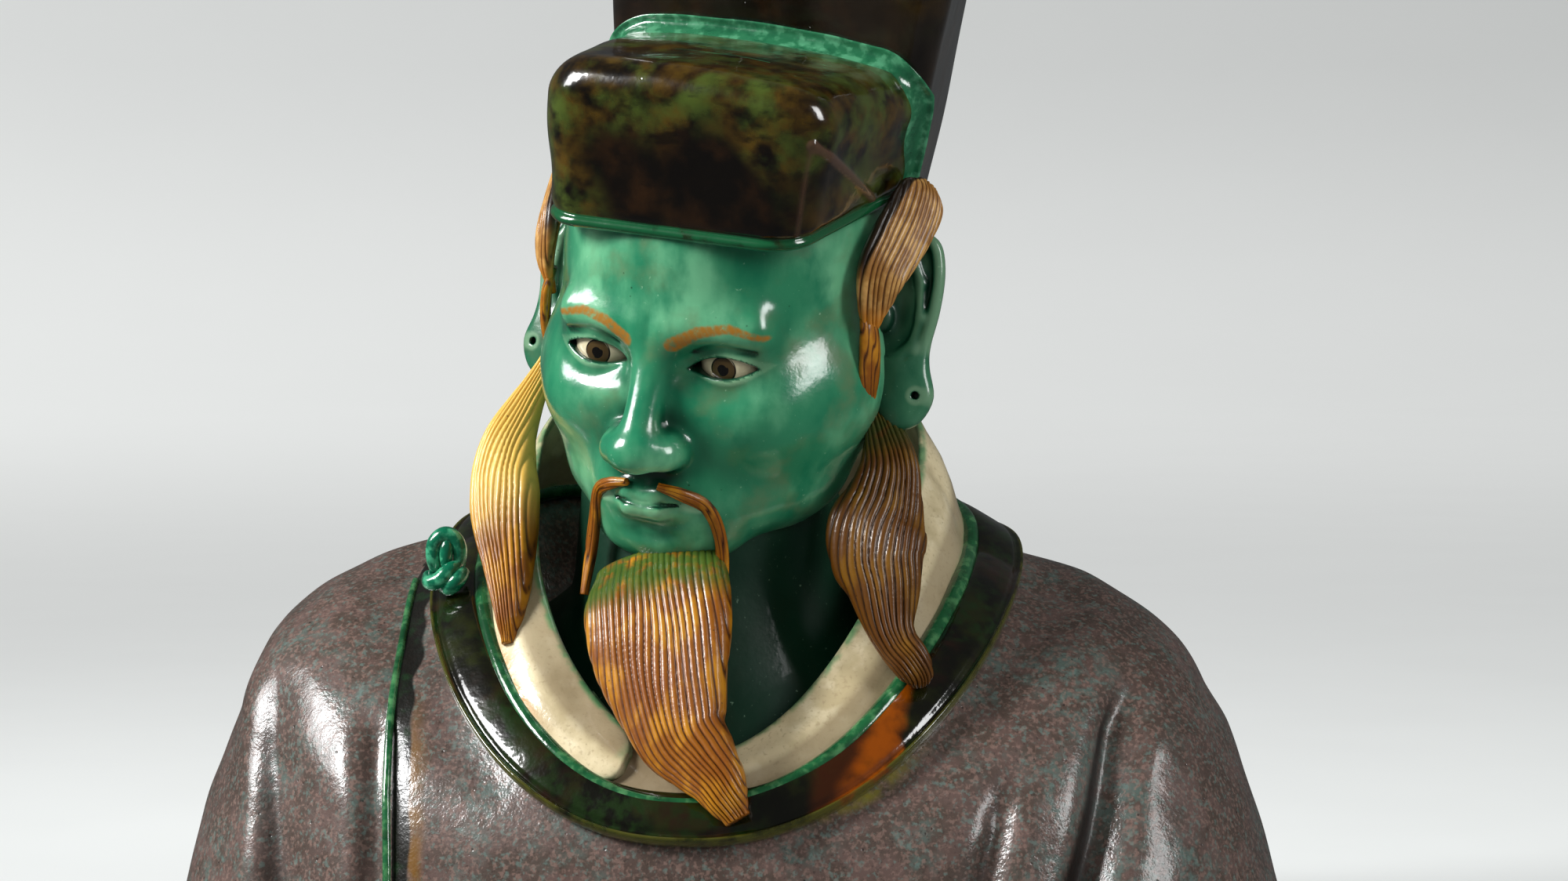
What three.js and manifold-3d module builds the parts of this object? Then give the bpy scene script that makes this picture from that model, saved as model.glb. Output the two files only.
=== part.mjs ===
// Bust of a bearded official in a tiered cap and a round-collared robe, in glazed stoneware.
// Millimetres, +Z up, the figure faces -Y, and the origin is the middle of its flat underside.
import * as THREE from "three";
import { mergeVertices } from "three/addons/utils/BufferGeometryUtils.js";
import Module from "manifold-3d";

// Driving dimensions of the robe: one row for each ring from the cut at the chest to the neckline.
// Each row holds half width, depth in front, depth behind, and the ring's height at side, front, back.
const ROBE_RINGS = [
  [211, 113, 98, 0, 0, 0],
  [204, 114, 99, 31, 12, 32],
  [195, 114, 98, 62, 24, 64],
  [182, 113, 95, 93, 35, 94],
  [168, 112, 89, 118, 45, 118],
  [141, 111, 80, 135, 53, 138],
  [115, 109, 69, 139.5, 60, 152],
  [89, 104, 57, 153, 71, 165],
];
const SHOULDER_TILT = 0.022; // rise of the shoulders towards the figure's right, per millimetre
const ROBE_SQUARENESS = 2.4; // superellipse exponent of the rings at the cut
const RING_SQUARENESS = 2.25; // and at the neckline
const COLLAR_RING = 6.55; // where on the robe the outer collar lies, counted in rings

// Folds of the robe seen from the front: points [x, z], half width and depth of the valley.
const FOLDS = [
  { path: [[151, 99], [146, 78], [135, 40], [124, 0]], width: 13, depth: 5.5 },
  { path: [[104, 58], [97, 42], [91, 20], [88, 0]], width: 11, depth: 4 },
  { path: [[-171, 92], [-178, 60], [-184, 25], [-187, 0]], width: 11, depth: 2.5 },
  { path: [[-141, 108], [-147, 70], [-151, 30], [-152, 0]], width: 13, depth: 3.5 },
];

// Head: origin at brow level on the neck's axis, X to the figure's left, Y back, Z up.
const HEAD = {
  at: [4, -30, 251.5],
  pitch: 16,
  roll: 6.5,
  yaw: -15,
  halfWidth: 62,
  chin: -88,
  noseBase: -44,
  eyeLine: -11,
  eyeApart: 24.5,
  eyeRadius: 13,
  mouthLine: -59,
};

// Cap: a low front tier with rounded edges and a tall rear tier. Both lean and widen upwards from
// the brim. Half widths are at the brim's height; flare and lean are per millimetre of height.
const CAP = { brim: 37, shift: 4.5, lean: 0.1, flare: 0.002 };
const FRONT_TIER = {
  front: -62, back: 18, frontHalf: 49.5, backHalf: 61, frontCorner: 15, backCorner: 4,
  topInFront: 97, topBehind: 88, crown: 4, edgeInFront: 13, edgeBehind: 24,
};
const REAR_TIER = {
  front: 12, back: 79, frontHalf: 59.5, backHalf: 48, frontCorner: 10, backCorner: 20,
  nape: 4, top: 150, edge: 9,
};

// Inner collar: a wall standing on the neckline, given by its top edge as one more ring row.
const INNER_COLLAR = { top: [72, 88, 50, 188, 88, 208], squareness: 2, wall: 4.5 };

// Neck: rings from inside the collar up into the head. Each row holds the centre x and y, half
// width, half depth, and the ring's height in front and behind.
const NECK_RINGS = [
  [0, -18, 80, 72, 78, 150],
  [-1, -17, 66, 66, 90, 158],
  [-3, -15, 54, 56, 112, 166],
  [-5, -14, 48, 50, 140, 180],
  [-6, -17, 46, 48, 185, 205],
  [-4, -21, 44, 46, 222, 232],
];

// Locks of hair and beard: centre points, and half width, half thickness at each of them.
const GOATEE = {
  path: [
    [-17, -62, 156], [-14, -76, 146], [-11.5, -84, 133], [-9, -91, 121], [-5.5, -98, 108.5],
    [0, -105, 96.5], [7, -110, 89], [13, -114, 82.5], [17, -116.5, 76], [21, -118, 69.5],
  ],
  width: [24, 27, 27, 25, 21, 17, 13.5, 10.5, 8, 4.8],
  thick: [8, 10, 10.5, 10, 9.5, 9, 8, 7, 6, 3.5],
  facing: [-0.1, -1, 0.15],
};
const WHISKER_LEFT = {
  path: [
    [58, -40, 214], [63, -45, 199], [65.5, -50, 188], [64.5, -55, 177], [62.5, -60, 166.5],
    [63, -64, 156.5], [65.5, -67, 147], [68, -70, 134], [71, -72, 127], [75.5, -73.5, 121],
    [78.5, -73.5, 115.5], [78.8, -72, 112],
  ],
  width: [2, 7.5, 10.8, 14.2, 18, 17.4, 14.2, 9.6, 7.8, 7.4, 6, 3],
  thick: [2, 5, 7, 8, 9, 9, 8, 7, 6.5, 6.5, 5.5, 3],
  facing: [0.2, -1, 0],
};
const WHISKER_RIGHT = {
  path: [
    [-60, -14, 232], [-66, -16, 220], [-72.5, -20, 207], [-77.5, -25, 194.5], [-78.8, -30, 183.5],
    [-77.5, -36, 172.5], [-75.6, -42, 162], [-73.6, -48, 151.5], [-72, -54, 141], [-71, -60, 131],
    [-70.5, -64, 123],
  ],
  width: [3, 4, 6.5, 10, 12.5, 14, 12.8, 10.2, 7.6, 4.8, 2.4],
  thick: [3, 4, 6, 8, 9, 9, 8.5, 7.5, 6.5, 5, 3],
  facing: [-0.35, -1, 0],
};
// These two are in the head's own frame, and each has a mirrored twin.
const TUFT = {
  path: [
    [63, -16, -6], [65, -17.4, 6], [66, -13, 17], [67.5, -3, 25], [69, 7, 32], [70, 15, 38], [70, 19, 41],
  ],
  width: [2.5, 7, 10.5, 12, 12, 10.5, 5],
  thick: [1.5, 3, 4, 4.5, 4.5, 4.2, 2.5],
  facing: [1, -0.75, 0.1],
};
const SIDEBURN = {
  path: [[62, -17, 4], [64, -19, -6], [64, -19, -18], [61, -14, -32]],
  width: [2.5, 3.2, 3.6, 3],
  thick: [1.6, 2, 2, 1.6],
  facing: [1, -0.4, 0],
};
const MOUSTACHE = {
  path: [[6, -73, -52.5], [14, -71, -55], [21, -64.5, -61], [24.5, -61, -72], [26, -62, -86], [25.5, -69, -100]],
  width: [1.4, 2.4, 2.6, 2.4, 2.4, 1.6],
  thick: [1.4, 2, 2.2, 2, 2, 1.5],
  facing: [0.3, -1, 0],
};

// Ear, in its own plane: outline points [out from the head, up], and thickness.
const EAR_OUTLINE = [
  [-6, -12], [-2, 2], [4, 8], [11, 9], [16, 5], [18.5, -5], [18.5, -18], [17, -30],
  [16.5, -40], [20, -49], [16, -58], [8, -61], [2, -55], [-2, -42], [-6, -34],
];
const EAR = { at: [61, 14, 15], flare: 10, tilt: 21, thick: 6, lobeHole: [15.5, -48], holeRadius: 1.5 };

// Cord knot that closes the robe on the right shoulder, and the edge of the front flap below it.
const KNOT = { at: [-99, -37, 147], loopRadius: 6.2, cord: 2.9 };
const FLAP_EDGE = [[-104, 137], [-105.5, 118], [-106, 95], [-106.5, 65], [-107, 35], [-107, 0]];

const JOIN_TOLERANCE = 0.05; // slivers thinner than this, left where forms meet, are merged away

const rad = THREE.MathUtils.degToRad;
const wasm = await Module();
wasm.setup();

// Smooth value of a table of rows at a position counted in rows.
function tableAt(rows, position) {
  const last = rows.length - 1;
  const i = Math.min(Math.max(Math.floor(position), 0), last - 1);
  const t = position - i;
  const pick = (k) => rows[Math.min(Math.max(k, 0), last)];
  return rows[i].map((_, c) => {
    const [a, b, d, e] = [pick(i - 1)[c], pick(i)[c], pick(i + 1)[c], pick(i + 2)[c]];
    return b + 0.5 * t * (d - a + t * (2 * a - 5 * b + 4 * d - e + t * (3 * (b - d) + e - a)));
  });
}

// A closed solid from rings of equal length. Open ends are closed to the middle of their ring.
function ringSolid(rings, closeLoop = false) {
  const n = rings[0].length;
  const points = rings.flat();
  const index = [];
  const count = closeLoop ? rings.length : rings.length - 1;
  for (let r = 0; r < count; r++) {
    const next = (r + 1) % rings.length;
    for (let c = 0; c < n; c++) {
      const d = (c + 1) % n;
      index.push(r * n + c, r * n + d, next * n + d, r * n + c, next * n + d, next * n + c);
    }
  }
  if (!closeLoop) {
    for (const [r, flip] of [[0, true], [rings.length - 1, false]]) {
      const middle = rings[r].reduce((s, p) => s.add(p), new THREE.Vector3()).divideScalar(n);
      points.push(middle);
      for (let c = 0; c < n; c++) {
        const pair = [r * n + c, r * n + ((c + 1) % n)];
        index.push(points.length - 1, ...(flip ? pair.reverse() : pair));
      }
    }
  }
  return solid(new THREE.BufferGeometry().setFromPoints(points).setIndex(index));
}

// A solid for joining and cutting, from any closed geometry.
function solid(geometry) {
  const bare = new THREE.BufferGeometry();
  bare.setAttribute("position", geometry.getAttribute("position"));
  bare.setIndex(geometry.index);
  const merged = mergeVertices(bare, 1e-3);
  const make = (triVerts) => new wasm.Manifold(new wasm.Mesh({
    numProp: 3, vertProperties: merged.attributes.position.array, triVerts,
  }));
  const faces = new Uint32Array(merged.index.array);
  const made = make(faces);
  if (made.volume() >= 0) return made;
  for (let i = 0; i < faces.length; i += 3) [faces[i + 1], faces[i + 2]] = [faces[i + 2], faces[i + 1]];
  return make(faces);
}

// Rotation and place of the head in the figure's frame.
const headMatrix = new THREE.Matrix4()
  .makeRotationFromEuler(new THREE.Euler(rad(HEAD.pitch), rad(HEAD.roll), rad(HEAD.yaw), "YZX"))
  .setPosition(...HEAD.at);
const fromHead = (x, y, z) => new THREE.Vector3(x, y, z).applyMatrix4(headMatrix);

// Distance from a point [x, z] to a path in that plane, and how far along the path it is, 0 to 1.
function pathDistance(x, z, path) {
  let best = [Infinity, 0];
  for (let i = 0; i < path.length - 1; i++) {
    const [ax, az] = path[i];
    const [dx, dz] = [path[i + 1][0] - ax, path[i + 1][1] - az];
    const t = Math.min(Math.max(((x - ax) * dx + (z - az) * dz) / (dx * dx + dz * dz), 0), 1);
    const d = Math.hypot(x - ax - t * dx, z - az - t * dz);
    if (d < best[0]) best = [d, (i + t) / (path.length - 1)];
  }
  return best;
}

// Point of a ring: a superellipse that rises or falls from its front to its sides and its back.
function ringPoint([half, front, back, zSide, zFront, zBack], squareness, turn) {
  const c = Math.cos(turn);
  const s = Math.sin(turn);
  const x = half * Math.sign(c) * Math.abs(c) ** (2 / squareness);
  const y = -(s > 0 ? front : back) * Math.sign(s) * Math.abs(s) ** (2 / squareness);
  const z = zSide + 0.5 * (zFront - zBack) * s + (0.5 * (zFront + zBack) - zSide) * s * s;
  return new THREE.Vector3(x, y, z);
}

// Point of the smooth robe. Ring position 0 is the cut and 7 the neckline; turn 0 is +X, 90 the front.
function robeBase(ring, turn) {
  const share = ring / (ROBE_RINGS.length - 1);
  const squareness = ROBE_SQUARENESS + (RING_SQUARENESS - ROBE_SQUARENESS) * share;
  const p = ringPoint(tableAt(ROBE_RINGS, ring), squareness, turn);
  p.z -= SHOULDER_TILT * p.x * Math.min(p.z / 150, 1);
  return p;
}

// The robe with its folds pressed in. The plain back has shallow vertical folds.
function robePoint(ring, turn) {
  const p = robeBase(ring, turn);
  let sink = 0;
  if (p.y < 30) {
    for (const { path, width, depth } of FOLDS) {
      const [d, along] = pathDistance(p.x, p.z, path);
      const start = Math.min(along * 5 + 0.02, 1);
      sink += depth * start * (Math.exp(-((d / width) ** 2)) - 0.35 * Math.exp(-((d / width - 2.2) ** 2)));
    }
  } else {
    const low = Math.max(0, 1 - p.z / 150);
    sink = 3 * low * Math.cos(p.x / 17) * Math.min(1, (p.y - 30) / 40);
  }
  const outward = new THREE.Vector3(p.x / 2.2, p.y, 0).normalize();
  return p.addScaledVector(outward, -sink);
}

function robe() {
  const rings = [];
  const around = 60;
  for (let ring = 0; ring <= ROBE_RINGS.length - 1; ring += 0.5) {
    rings.push(Array.from({ length: around }, (_, i) => robePoint(ring, (2 * Math.PI * i) / around)));
  }
  return ringSolid(rings);
}

// The inner collar's wall, closed below by a floor that the robe and the neck cover.
function innerCollar() {
  const { top, squareness, wall } = INNER_COLLAR;
  const foot = robeBase.bind(null, ROBE_RINGS.length - 1);
  const inner = top.map((value, i) => (i < 3 ? value - wall : value - 1));
  const around = 40;
  const rings = [0, 0.5, 1].map((share) => Array.from({ length: around }, (_, i) => {
    const turn = (2 * Math.PI * i) / around;
    return foot(turn).lerp(ringPoint(top, squareness, turn), share);
  }));
  rings.push(Array.from({ length: around }, (_, i) => ringPoint(inner, squareness, (2 * Math.PI * i) / around)));
  rings.push(Array.from({ length: around }, (_, i) => {
    const turn = (2 * Math.PI * i) / around;
    return foot(turn).lerp(ringPoint(inner, squareness, turn), 0.4).multiply(new THREE.Vector3(0.9, 0.9, 1));
  }));
  return ringSolid(rings);
}

function neck() {
  return ringSolid(NECK_RINGS.map(([x, y, half, depth, zFront, zBack]) => Array.from({ length: 28 }, (_, i) => {
    const a = (2 * Math.PI * i) / 28;
    const lean = Math.sin(a);
    const z = 0.5 * (zFront + zBack) - 0.5 * (zFront - zBack) * lean;
    return new THREE.Vector3(x + half * Math.cos(a), y + depth * lean, z);
  })));
}

// A band laid on the robe along a ring of the neckline, as a flat oval section.
function band(ringAt, width, thick, lift, around = 44, sides = 6) {
  const rings = [];
  for (let i = 0; i < around; i++) {
    const turn = (2 * Math.PI * i) / around;
    const ring = ringAt(turn);
    const at = robeBase(ring, turn);
    const along = robeBase(ring, turn + 0.01).sub(robeBase(ring, turn - 0.01)).normalize();
    const across = robeBase(ring + 0.05, turn).sub(robeBase(ring - 0.05, turn));
    across.addScaledVector(along, -across.dot(along)).normalize();
    const up = new THREE.Vector3().crossVectors(across, along).normalize();
    if (up.dot(new THREE.Vector3(at.x, at.y, 60)) < 0) up.negate();
    rings.push(Array.from({ length: sides }, (_, k) => {
      const a = (2 * Math.PI * (k + 0.5)) / sides;
      const [u, v] = [Math.cos(a), Math.sin(a)].map((q) => Math.sign(q) * Math.abs(q) ** 0.7);
      return at.clone().addScaledVector(across, (u * width) / 2).addScaledVector(up, lift + (v * thick) / 2);
    }));
  }
  return ringSolid(rings, true);
}

// A tapering lock of hair: an oval section carried along its path, broad side facing the viewer.
function lock({ path, width, thick, facing }, place = (p) => p, mirror = 1, steps = 14, sides = 8) {
  const curve = new THREE.CatmullRomCurve3(
    path.map(([x, y, z]) => place(new THREE.Vector3(mirror * x, y, z))), false, "catmullrom", 0.5);
  const origin = place(new THREE.Vector3());
  const face = place(new THREE.Vector3(mirror * facing[0], facing[1], facing[2])).sub(origin);
  const sizes = width.map((w, i) => [w, thick[i]]);
  const rings = [];
  for (let i = 0; i <= steps; i++) {
    const t = i / steps;
    const at = curve.getPoint(t);
    const along = curve.getTangent(t);
    const across = new THREE.Vector3().crossVectors(along, face).normalize();
    const out = new THREE.Vector3().crossVectors(across, along).normalize();
    const [half, deep] = tableAt(sizes, t * (sizes.length - 1));
    rings.push(Array.from({ length: sides }, (_, k) => {
      const a = (2 * Math.PI * k) / sides;
      return at.clone().addScaledVector(across, half * Math.cos(a)).addScaledVector(out, deep * Math.sin(a));
    }));
  }
  return ringSolid(rings);
}

const inHead = (p) => p.clone().applyMatrix4(headMatrix);

// Signed distances, in millimetres, used to model the head as one soft form.
const smoothMin = (a, b, k) => Math.min(a, b) - (Math.max(k - Math.abs(a - b), 0) ** 2) / (4 * k);
const smoothCut = (a, b, k) => -smoothMin(-a, b, k);
function ellipsoid([x, y, z], [cx, cy, cz], [rx, ry, rz]) {
  const [u, v, w] = [(x - cx) / rx, (y - cy) / ry, (z - cz) / rz];
  const k = Math.hypot(u, v, w);
  return k < 1e-6 ? -Math.min(rx, ry, rz) : (k * (k - 1)) / Math.hypot(u / rx, v / ry, w / rz);
}
function capsule([x, y, z], [ax, ay, az], [bx, by, bz], ra, rb) {
  const [dx, dy, dz] = [bx - ax, by - ay, bz - az];
  const t = ((x - ax) * dx + (y - ay) * dy + (z - az) * dz) / (dx * dx + dy * dy + dz * dz);
  const h = Math.min(Math.max(t, 0), 1);
  return Math.hypot(x - ax - h * dx, y - ay - h * dy, z - az - h * dz) - (ra + (rb - ra) * h);
}

// The head without ears, hair or cap: calm and even, on the usual thirds of a drawn face.
function headDistance(point) {
  const p = [Math.abs(point[0]), point[1], point[2]];
  const { halfWidth, chin, noseBase, eyeLine, eyeApart, eyeRadius, mouthLine } = HEAD;
  let d = ellipsoid(p, [0, 6, 15], [halfWidth - 2, 69, 64]);
  d = smoothMin(d, ellipsoid(p, [0, -11, -28], [halfWidth + 3, 56, 47]), 12);
  d = smoothMin(d, ellipsoid(p, [0, -18, mouthLine - 3], [halfWidth - 12, 45, 25]), 16);
  d = smoothMin(d, ellipsoid(p, [0, -54, chin + 12], [15, 14, 13]), 12);
  d = smoothMin(d, ellipsoid(p, [31, -43, -30], [17, 17, 15]), 12);
  d = smoothMin(d, ellipsoid(p, [0, -55, mouthLine], [24, 15, 17]), 10);
  d = smoothMin(d, capsule(p, [6, -62, 0], [26, -58, 3], 6, 5), 9);
  d = smoothMin(d, capsule(p, [26, -58, 3], [43, -44, -2], 5, 4), 9);
  d = smoothCut(d, ellipsoid(p, [eyeApart, -66, eyeLine], [15, 9, 8]), 8);
  d = smoothMin(d, capsule(p, [0, -62, -7], [0, -77, noseBase + 8], 5.5, 7.5), 7);
  d = smoothMin(d, ellipsoid(p, [0, -80, noseBase + 5], [9, 8, 7]), 4);
  d = smoothMin(d, ellipsoid(p, [10.5, -72, noseBase + 3.5], [6.5, 9, 6]), 4);
  d = smoothMin(d, Math.hypot(p[0] - eyeApart, p[1] + 45.5, p[2] - eyeLine) - eyeRadius - 1, 3);
  d = smoothMin(d, capsule(p, [16.5, -62, mouthLine - 0.8], [6.5, -69.5, mouthLine + 2.4], 1.4, 3), 3);
  d = smoothMin(d, capsule(p, [6.5, -69.5, mouthLine + 2.4], [0, -70.5, mouthLine + 1.6], 3, 2.8), 3);
  d = smoothMin(d, capsule(p, [15, -63, mouthLine - 2], [5, -70, mouthLine - 4.2], 1.6, 3.8), 3);
  d = smoothMin(d, capsule(p, [5, -70, mouthLine - 4.2], [0, -70.8, mouthLine - 4.6], 3.8, 3.9), 3);
  d = smoothCut(d, ellipsoid(p, [0, -81, mouthLine - 11.5], [12, 14, 4]), 6);
  return d;
}

function head() {
  const middle = [0, -6, -28];
  const [around, up] = [40, 26];
  const rings = [];
  for (let j = 0; j <= up; j++) {
    const height = -0.999 + (1.998 * j) / up;
    const lift = (Math.PI / 2) * (0.75 * height + 0.25 * height ** 3);
    rings.push(Array.from({ length: around }, (_, i) => {
      const t = (2 * i) / around - 1;
      const turn = Math.PI * (0.45 * t + 0.55 * t ** 3);
      const dir = [Math.sin(turn) * Math.cos(lift), -Math.cos(turn) * Math.cos(lift), Math.sin(lift)];
      let far = 130;
      for (let k = 0; k < 70; k++) far -= 0.8 * headDistance(dir.map((q, c) => middle[c] + far * q));
      return fromHead(...dir.map((q, c) => middle[c] + far * q));
    }));
  }
  return ringSolid(rings);
}

// Ear plate with a rolled rim, a sunk hollow and a pierced lobe. side is 1 or -1.
function ear(side) {
  const shape = new THREE.Shape(new THREE.SplineCurve(
    EAR_OUTLINE.map(([u, v]) => new THREE.Vector2(u, v))).getPoints(22));
  const plate = new THREE.ExtrudeGeometry(shape, {
    depth: EAR.thick - 3, steps: 1, bevelEnabled: true, bevelThickness: 1.5, bevelSize: 1.5, bevelSegments: 1,
  });
  const hollow = new THREE.SphereGeometry(1, 12, 8).scale(6, 12, 4.5).translate(7.5, -12, EAR.thick - 1);
  const pierce = new THREE.CylinderGeometry(EAR.holeRadius, EAR.holeRadius, 4 * EAR.thick, 8);
  pierce.rotateX(Math.PI / 2).translate(...EAR.lobeHole, 0);
  // The plate is drawn upright and facing the front, then turned and tilted backwards.
  const upright = new THREE.Matrix4().makeBasis(
    new THREE.Vector3(1, 0, 0), new THREE.Vector3(0, 0, 1), new THREE.Vector3(0, -1, 0));
  const turned = new THREE.Matrix4().makeRotationZ(rad(EAR.flare)).multiply(upright);
  const place = new THREE.Matrix4().makeRotationX(-rad(EAR.tilt)).setPosition(...EAR.at).multiply(turned);
  const mirrored = new THREE.Matrix4().makeScale(side, 1, 1);
  const move = (g) => solid(g.applyMatrix4(place).applyMatrix4(mirrored).applyMatrix4(headMatrix));
  return move(plate).subtract(move(hollow)).subtract(move(pierce));
}

// Outline of a cap tier: a trapezoid with round corners, drawn in by an inset at each depth y.
// levelAt gives the height at a point of the outline; the tier leans and widens with it.
function tierRing(tier, insetAt, levelAt, sides = 5) {
  const { front, back, frontHalf, backHalf, frontCorner, backCorner } = tier;
  const corners = [
    [1, front, frontCorner, -90], [1, back, backCorner, 0], [-1, back, backCorner, 90], [-1, front, frontCorner, 180],
  ];
  return corners.flatMap(([side, end, corner, start]) => {
    const inset = insetAt(end);
    const radius = Math.max(corner - inset, 0.5);
    const middle = end === front ? front + inset + radius : back - inset - radius;
    return Array.from({ length: sides + 1 }, (_, k) => {
      const a = rad(start + (90 * k) / sides);
      const y = middle + radius * Math.sin(a);
      const half = THREE.MathUtils.mapLinear(y, front, back, frontHalf, backHalf) - insetAt(y);
      const x = side * (half - radius) + radius * Math.cos(a);
      const z = levelAt(x, y);
      const above = z - CAP.brim;
      return fromHead(x * (1 + CAP.flare * above) + CAP.shift + CAP.lean * above, y, z);
    });
  });
}

function frontTier() {
  const { front, back, frontHalf, topInFront, topBehind, crown, edgeInFront, edgeBehind } = FRONT_TIER;
  const topAt = (x, y) => THREE.MathUtils.mapLinear(y, front, back, topInFront, topBehind)
    - crown * (x / frontHalf) ** 2;
  const edgeAt = (y) => THREE.MathUtils.mapLinear(y, front, back, edgeInFront, edgeBehind);
  const rings = [
    tierRing(FRONT_TIER, () => 3, () => CAP.brim - 3),
    tierRing(FRONT_TIER, () => 0.5, () => CAP.brim),
  ];
  for (let k = 0; k <= 5; k++) {
    const a = (Math.PI / 2) * (k / 5);
    rings.push(tierRing(FRONT_TIER, (y) => edgeAt(y) * (1 - Math.cos(a)),
      (x, y) => topAt(x, y) - edgeAt(y) * (1 - Math.sin(a))));
  }
  return ringSolid(rings);
}

function rearTier() {
  const { nape, top, edge } = REAR_TIER;
  const levels = [[nape, 0], [CAP.brim, 0], [92, 0], [top - edge, 0], [top - edge / 3, edge / 3], [top, edge]];
  return ringSolid(levels.map(([z, inset]) => tierRing(REAR_TIER, () => inset, () => z)));
}

// A cord of round section along points.
function cord(points, radius, closed = false, steps = 20, sides = 6) {
  const curve = new THREE.CatmullRomCurve3(points.map((p) => new THREE.Vector3(...p)), closed, "catmullrom", 0.5);
  const frames = curve.computeFrenetFrames(steps, closed);
  const rings = [];
  for (let i = 0; i < (closed ? steps : steps + 1); i++) {
    const at = curve.getPointAt(i / steps);
    rings.push(Array.from({ length: sides }, (_, k) => {
      const a = (2 * Math.PI * k) / sides;
      return at.clone().addScaledVector(frames.normals[i], radius * Math.cos(a))
        .addScaledVector(frames.binormals[i], radius * Math.sin(a));
    }));
  }
  return ringSolid(rings, closed);
}

// Two upright loops and a crosswise one: a frog knot of thick cord.
function knot() {
  const [x, y, z] = KNOT.at;
  const r = KNOT.loopRadius;
  const loop = [];
  const cross = [];
  for (let k = 0; k < 8; k++) {
    const a = (2 * Math.PI * k) / 8;
    loop.push([x - 1 + 0.75 * r * Math.cos(a), y + 1, z + r * 1.55 + 1.05 * r * Math.sin(a)]);
    cross.push([x + 1.15 * r * Math.cos(a), y - 2 + 2 * Math.sin(a), z + 0.6 * r * Math.sin(a)]);
  }
  const stem = new THREE.SphereGeometry(6, 8, 6).translate(x, y + 3, z - 1);
  return cord(loop, KNOT.cord, true, 12).add(cord(cross, KNOT.cord, true, 12)).add(solid(stem));
}

// Height and place of the robe's surface under a point seen from the front.
function onRobeFront(x, z, lift) {
  let [ring, turn] = [z / 22, Math.PI / 2 - x / 200];
  for (let k = 0; k < 60; k++) {
    const p = robeBase(ring, turn);
    turn += (p.x - x) / 260;
    ring = Math.min(Math.max(ring + (z - p.z) / 30, 0), 7);
  }
  const p = robeBase(ring, turn);
  return [p.x, p.y - lift, p.z];
}

function flapEdge() {
  return cord(FLAP_EDGE.map(([x, z]) => onRobeFront(x, z, 0.5)), 2.4, false, 18)
    .subtract(solid(new THREE.BoxGeometry(600, 600, 40).translate(0, 0, -20)));
}

// The outer skin of a joined solid: any hollow left shut inside it is filled.
const outerSkin = (joined) => joined.decompose().reduce((a, b) => (b.volume() > a.volume() ? b : a));

function geometryOf(joined) {
  const { vertProperties, triVerts } = joined.getMesh();
  return new THREE.BufferGeometry()
    .setAttribute("position", new THREE.BufferAttribute(vertProperties, 3))
    .setIndex(new THREE.BufferAttribute(triVerts, 1));
}

// Stack every form into one body. Its skin is taken twice, because merging the points that nearly
// meet can part a small hollow from the outside.
function figure() {
  const collarRing = () => COLLAR_RING;
  const forms = [
    robe(), innerCollar(), neck(), head(), frontTier(), rearTier(), ear(1), ear(-1),
    band(collarRing, 19, 8, 1.5), band(() => 7.45, 5.5, 7, 1),
    lock(GOATEE, undefined, 1, 16, 10), lock(WHISKER_LEFT), lock(WHISKER_RIGHT),
    lock(TUFT, inHead, 1, 8), lock(TUFT, inHead, -1, 8),
    lock(SIDEBURN, inHead, 1, 4, 6), lock(SIDEBURN, inHead, -1, 4, 6),
    lock(MOUSTACHE, inHead, 1, 12, 6), lock(MOUSTACHE, inHead, -1, 12, 6),
    knot(), flapEdge(),
  ];
  const joined = forms.reduce((whole, form) => whole.add(form)).simplify(JOIN_TOLERANCE);
  return geometryOf(outerSkin(solid(geometryOf(outerSkin(joined)))));
}

const geometry = figure();
geometry.computeVertexNormals();

const bust = new THREE.Mesh(geometry, new THREE.MeshStandardMaterial({
  color: 0x6f6064, roughness: 0.22, metalness: 0,
}));
bust.name = "glazed_figure";

const group = new THREE.Group();
group.add(bust);
export default group;
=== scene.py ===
"""Looks of the glazed bust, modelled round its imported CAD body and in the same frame.

Tables of the bust hold millimetres, +Z up, and the figure faces -Y. Meshes and the stage are in metres.
"""

import math

import bpy
import numpy as np
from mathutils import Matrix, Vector


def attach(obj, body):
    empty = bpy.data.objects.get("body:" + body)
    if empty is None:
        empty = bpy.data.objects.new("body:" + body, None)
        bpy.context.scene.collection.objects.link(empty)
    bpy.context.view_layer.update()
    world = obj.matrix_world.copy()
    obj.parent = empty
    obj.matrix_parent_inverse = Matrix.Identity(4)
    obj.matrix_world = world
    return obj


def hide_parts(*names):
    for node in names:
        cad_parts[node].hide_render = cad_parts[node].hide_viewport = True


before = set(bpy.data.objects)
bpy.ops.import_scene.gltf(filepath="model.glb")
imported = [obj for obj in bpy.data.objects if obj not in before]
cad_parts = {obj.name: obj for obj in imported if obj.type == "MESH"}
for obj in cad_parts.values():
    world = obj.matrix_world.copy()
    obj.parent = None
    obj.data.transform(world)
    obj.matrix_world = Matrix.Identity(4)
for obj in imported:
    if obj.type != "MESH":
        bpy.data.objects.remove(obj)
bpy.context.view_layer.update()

MM = 0.001
NODE = "glazed_figure"

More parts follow.
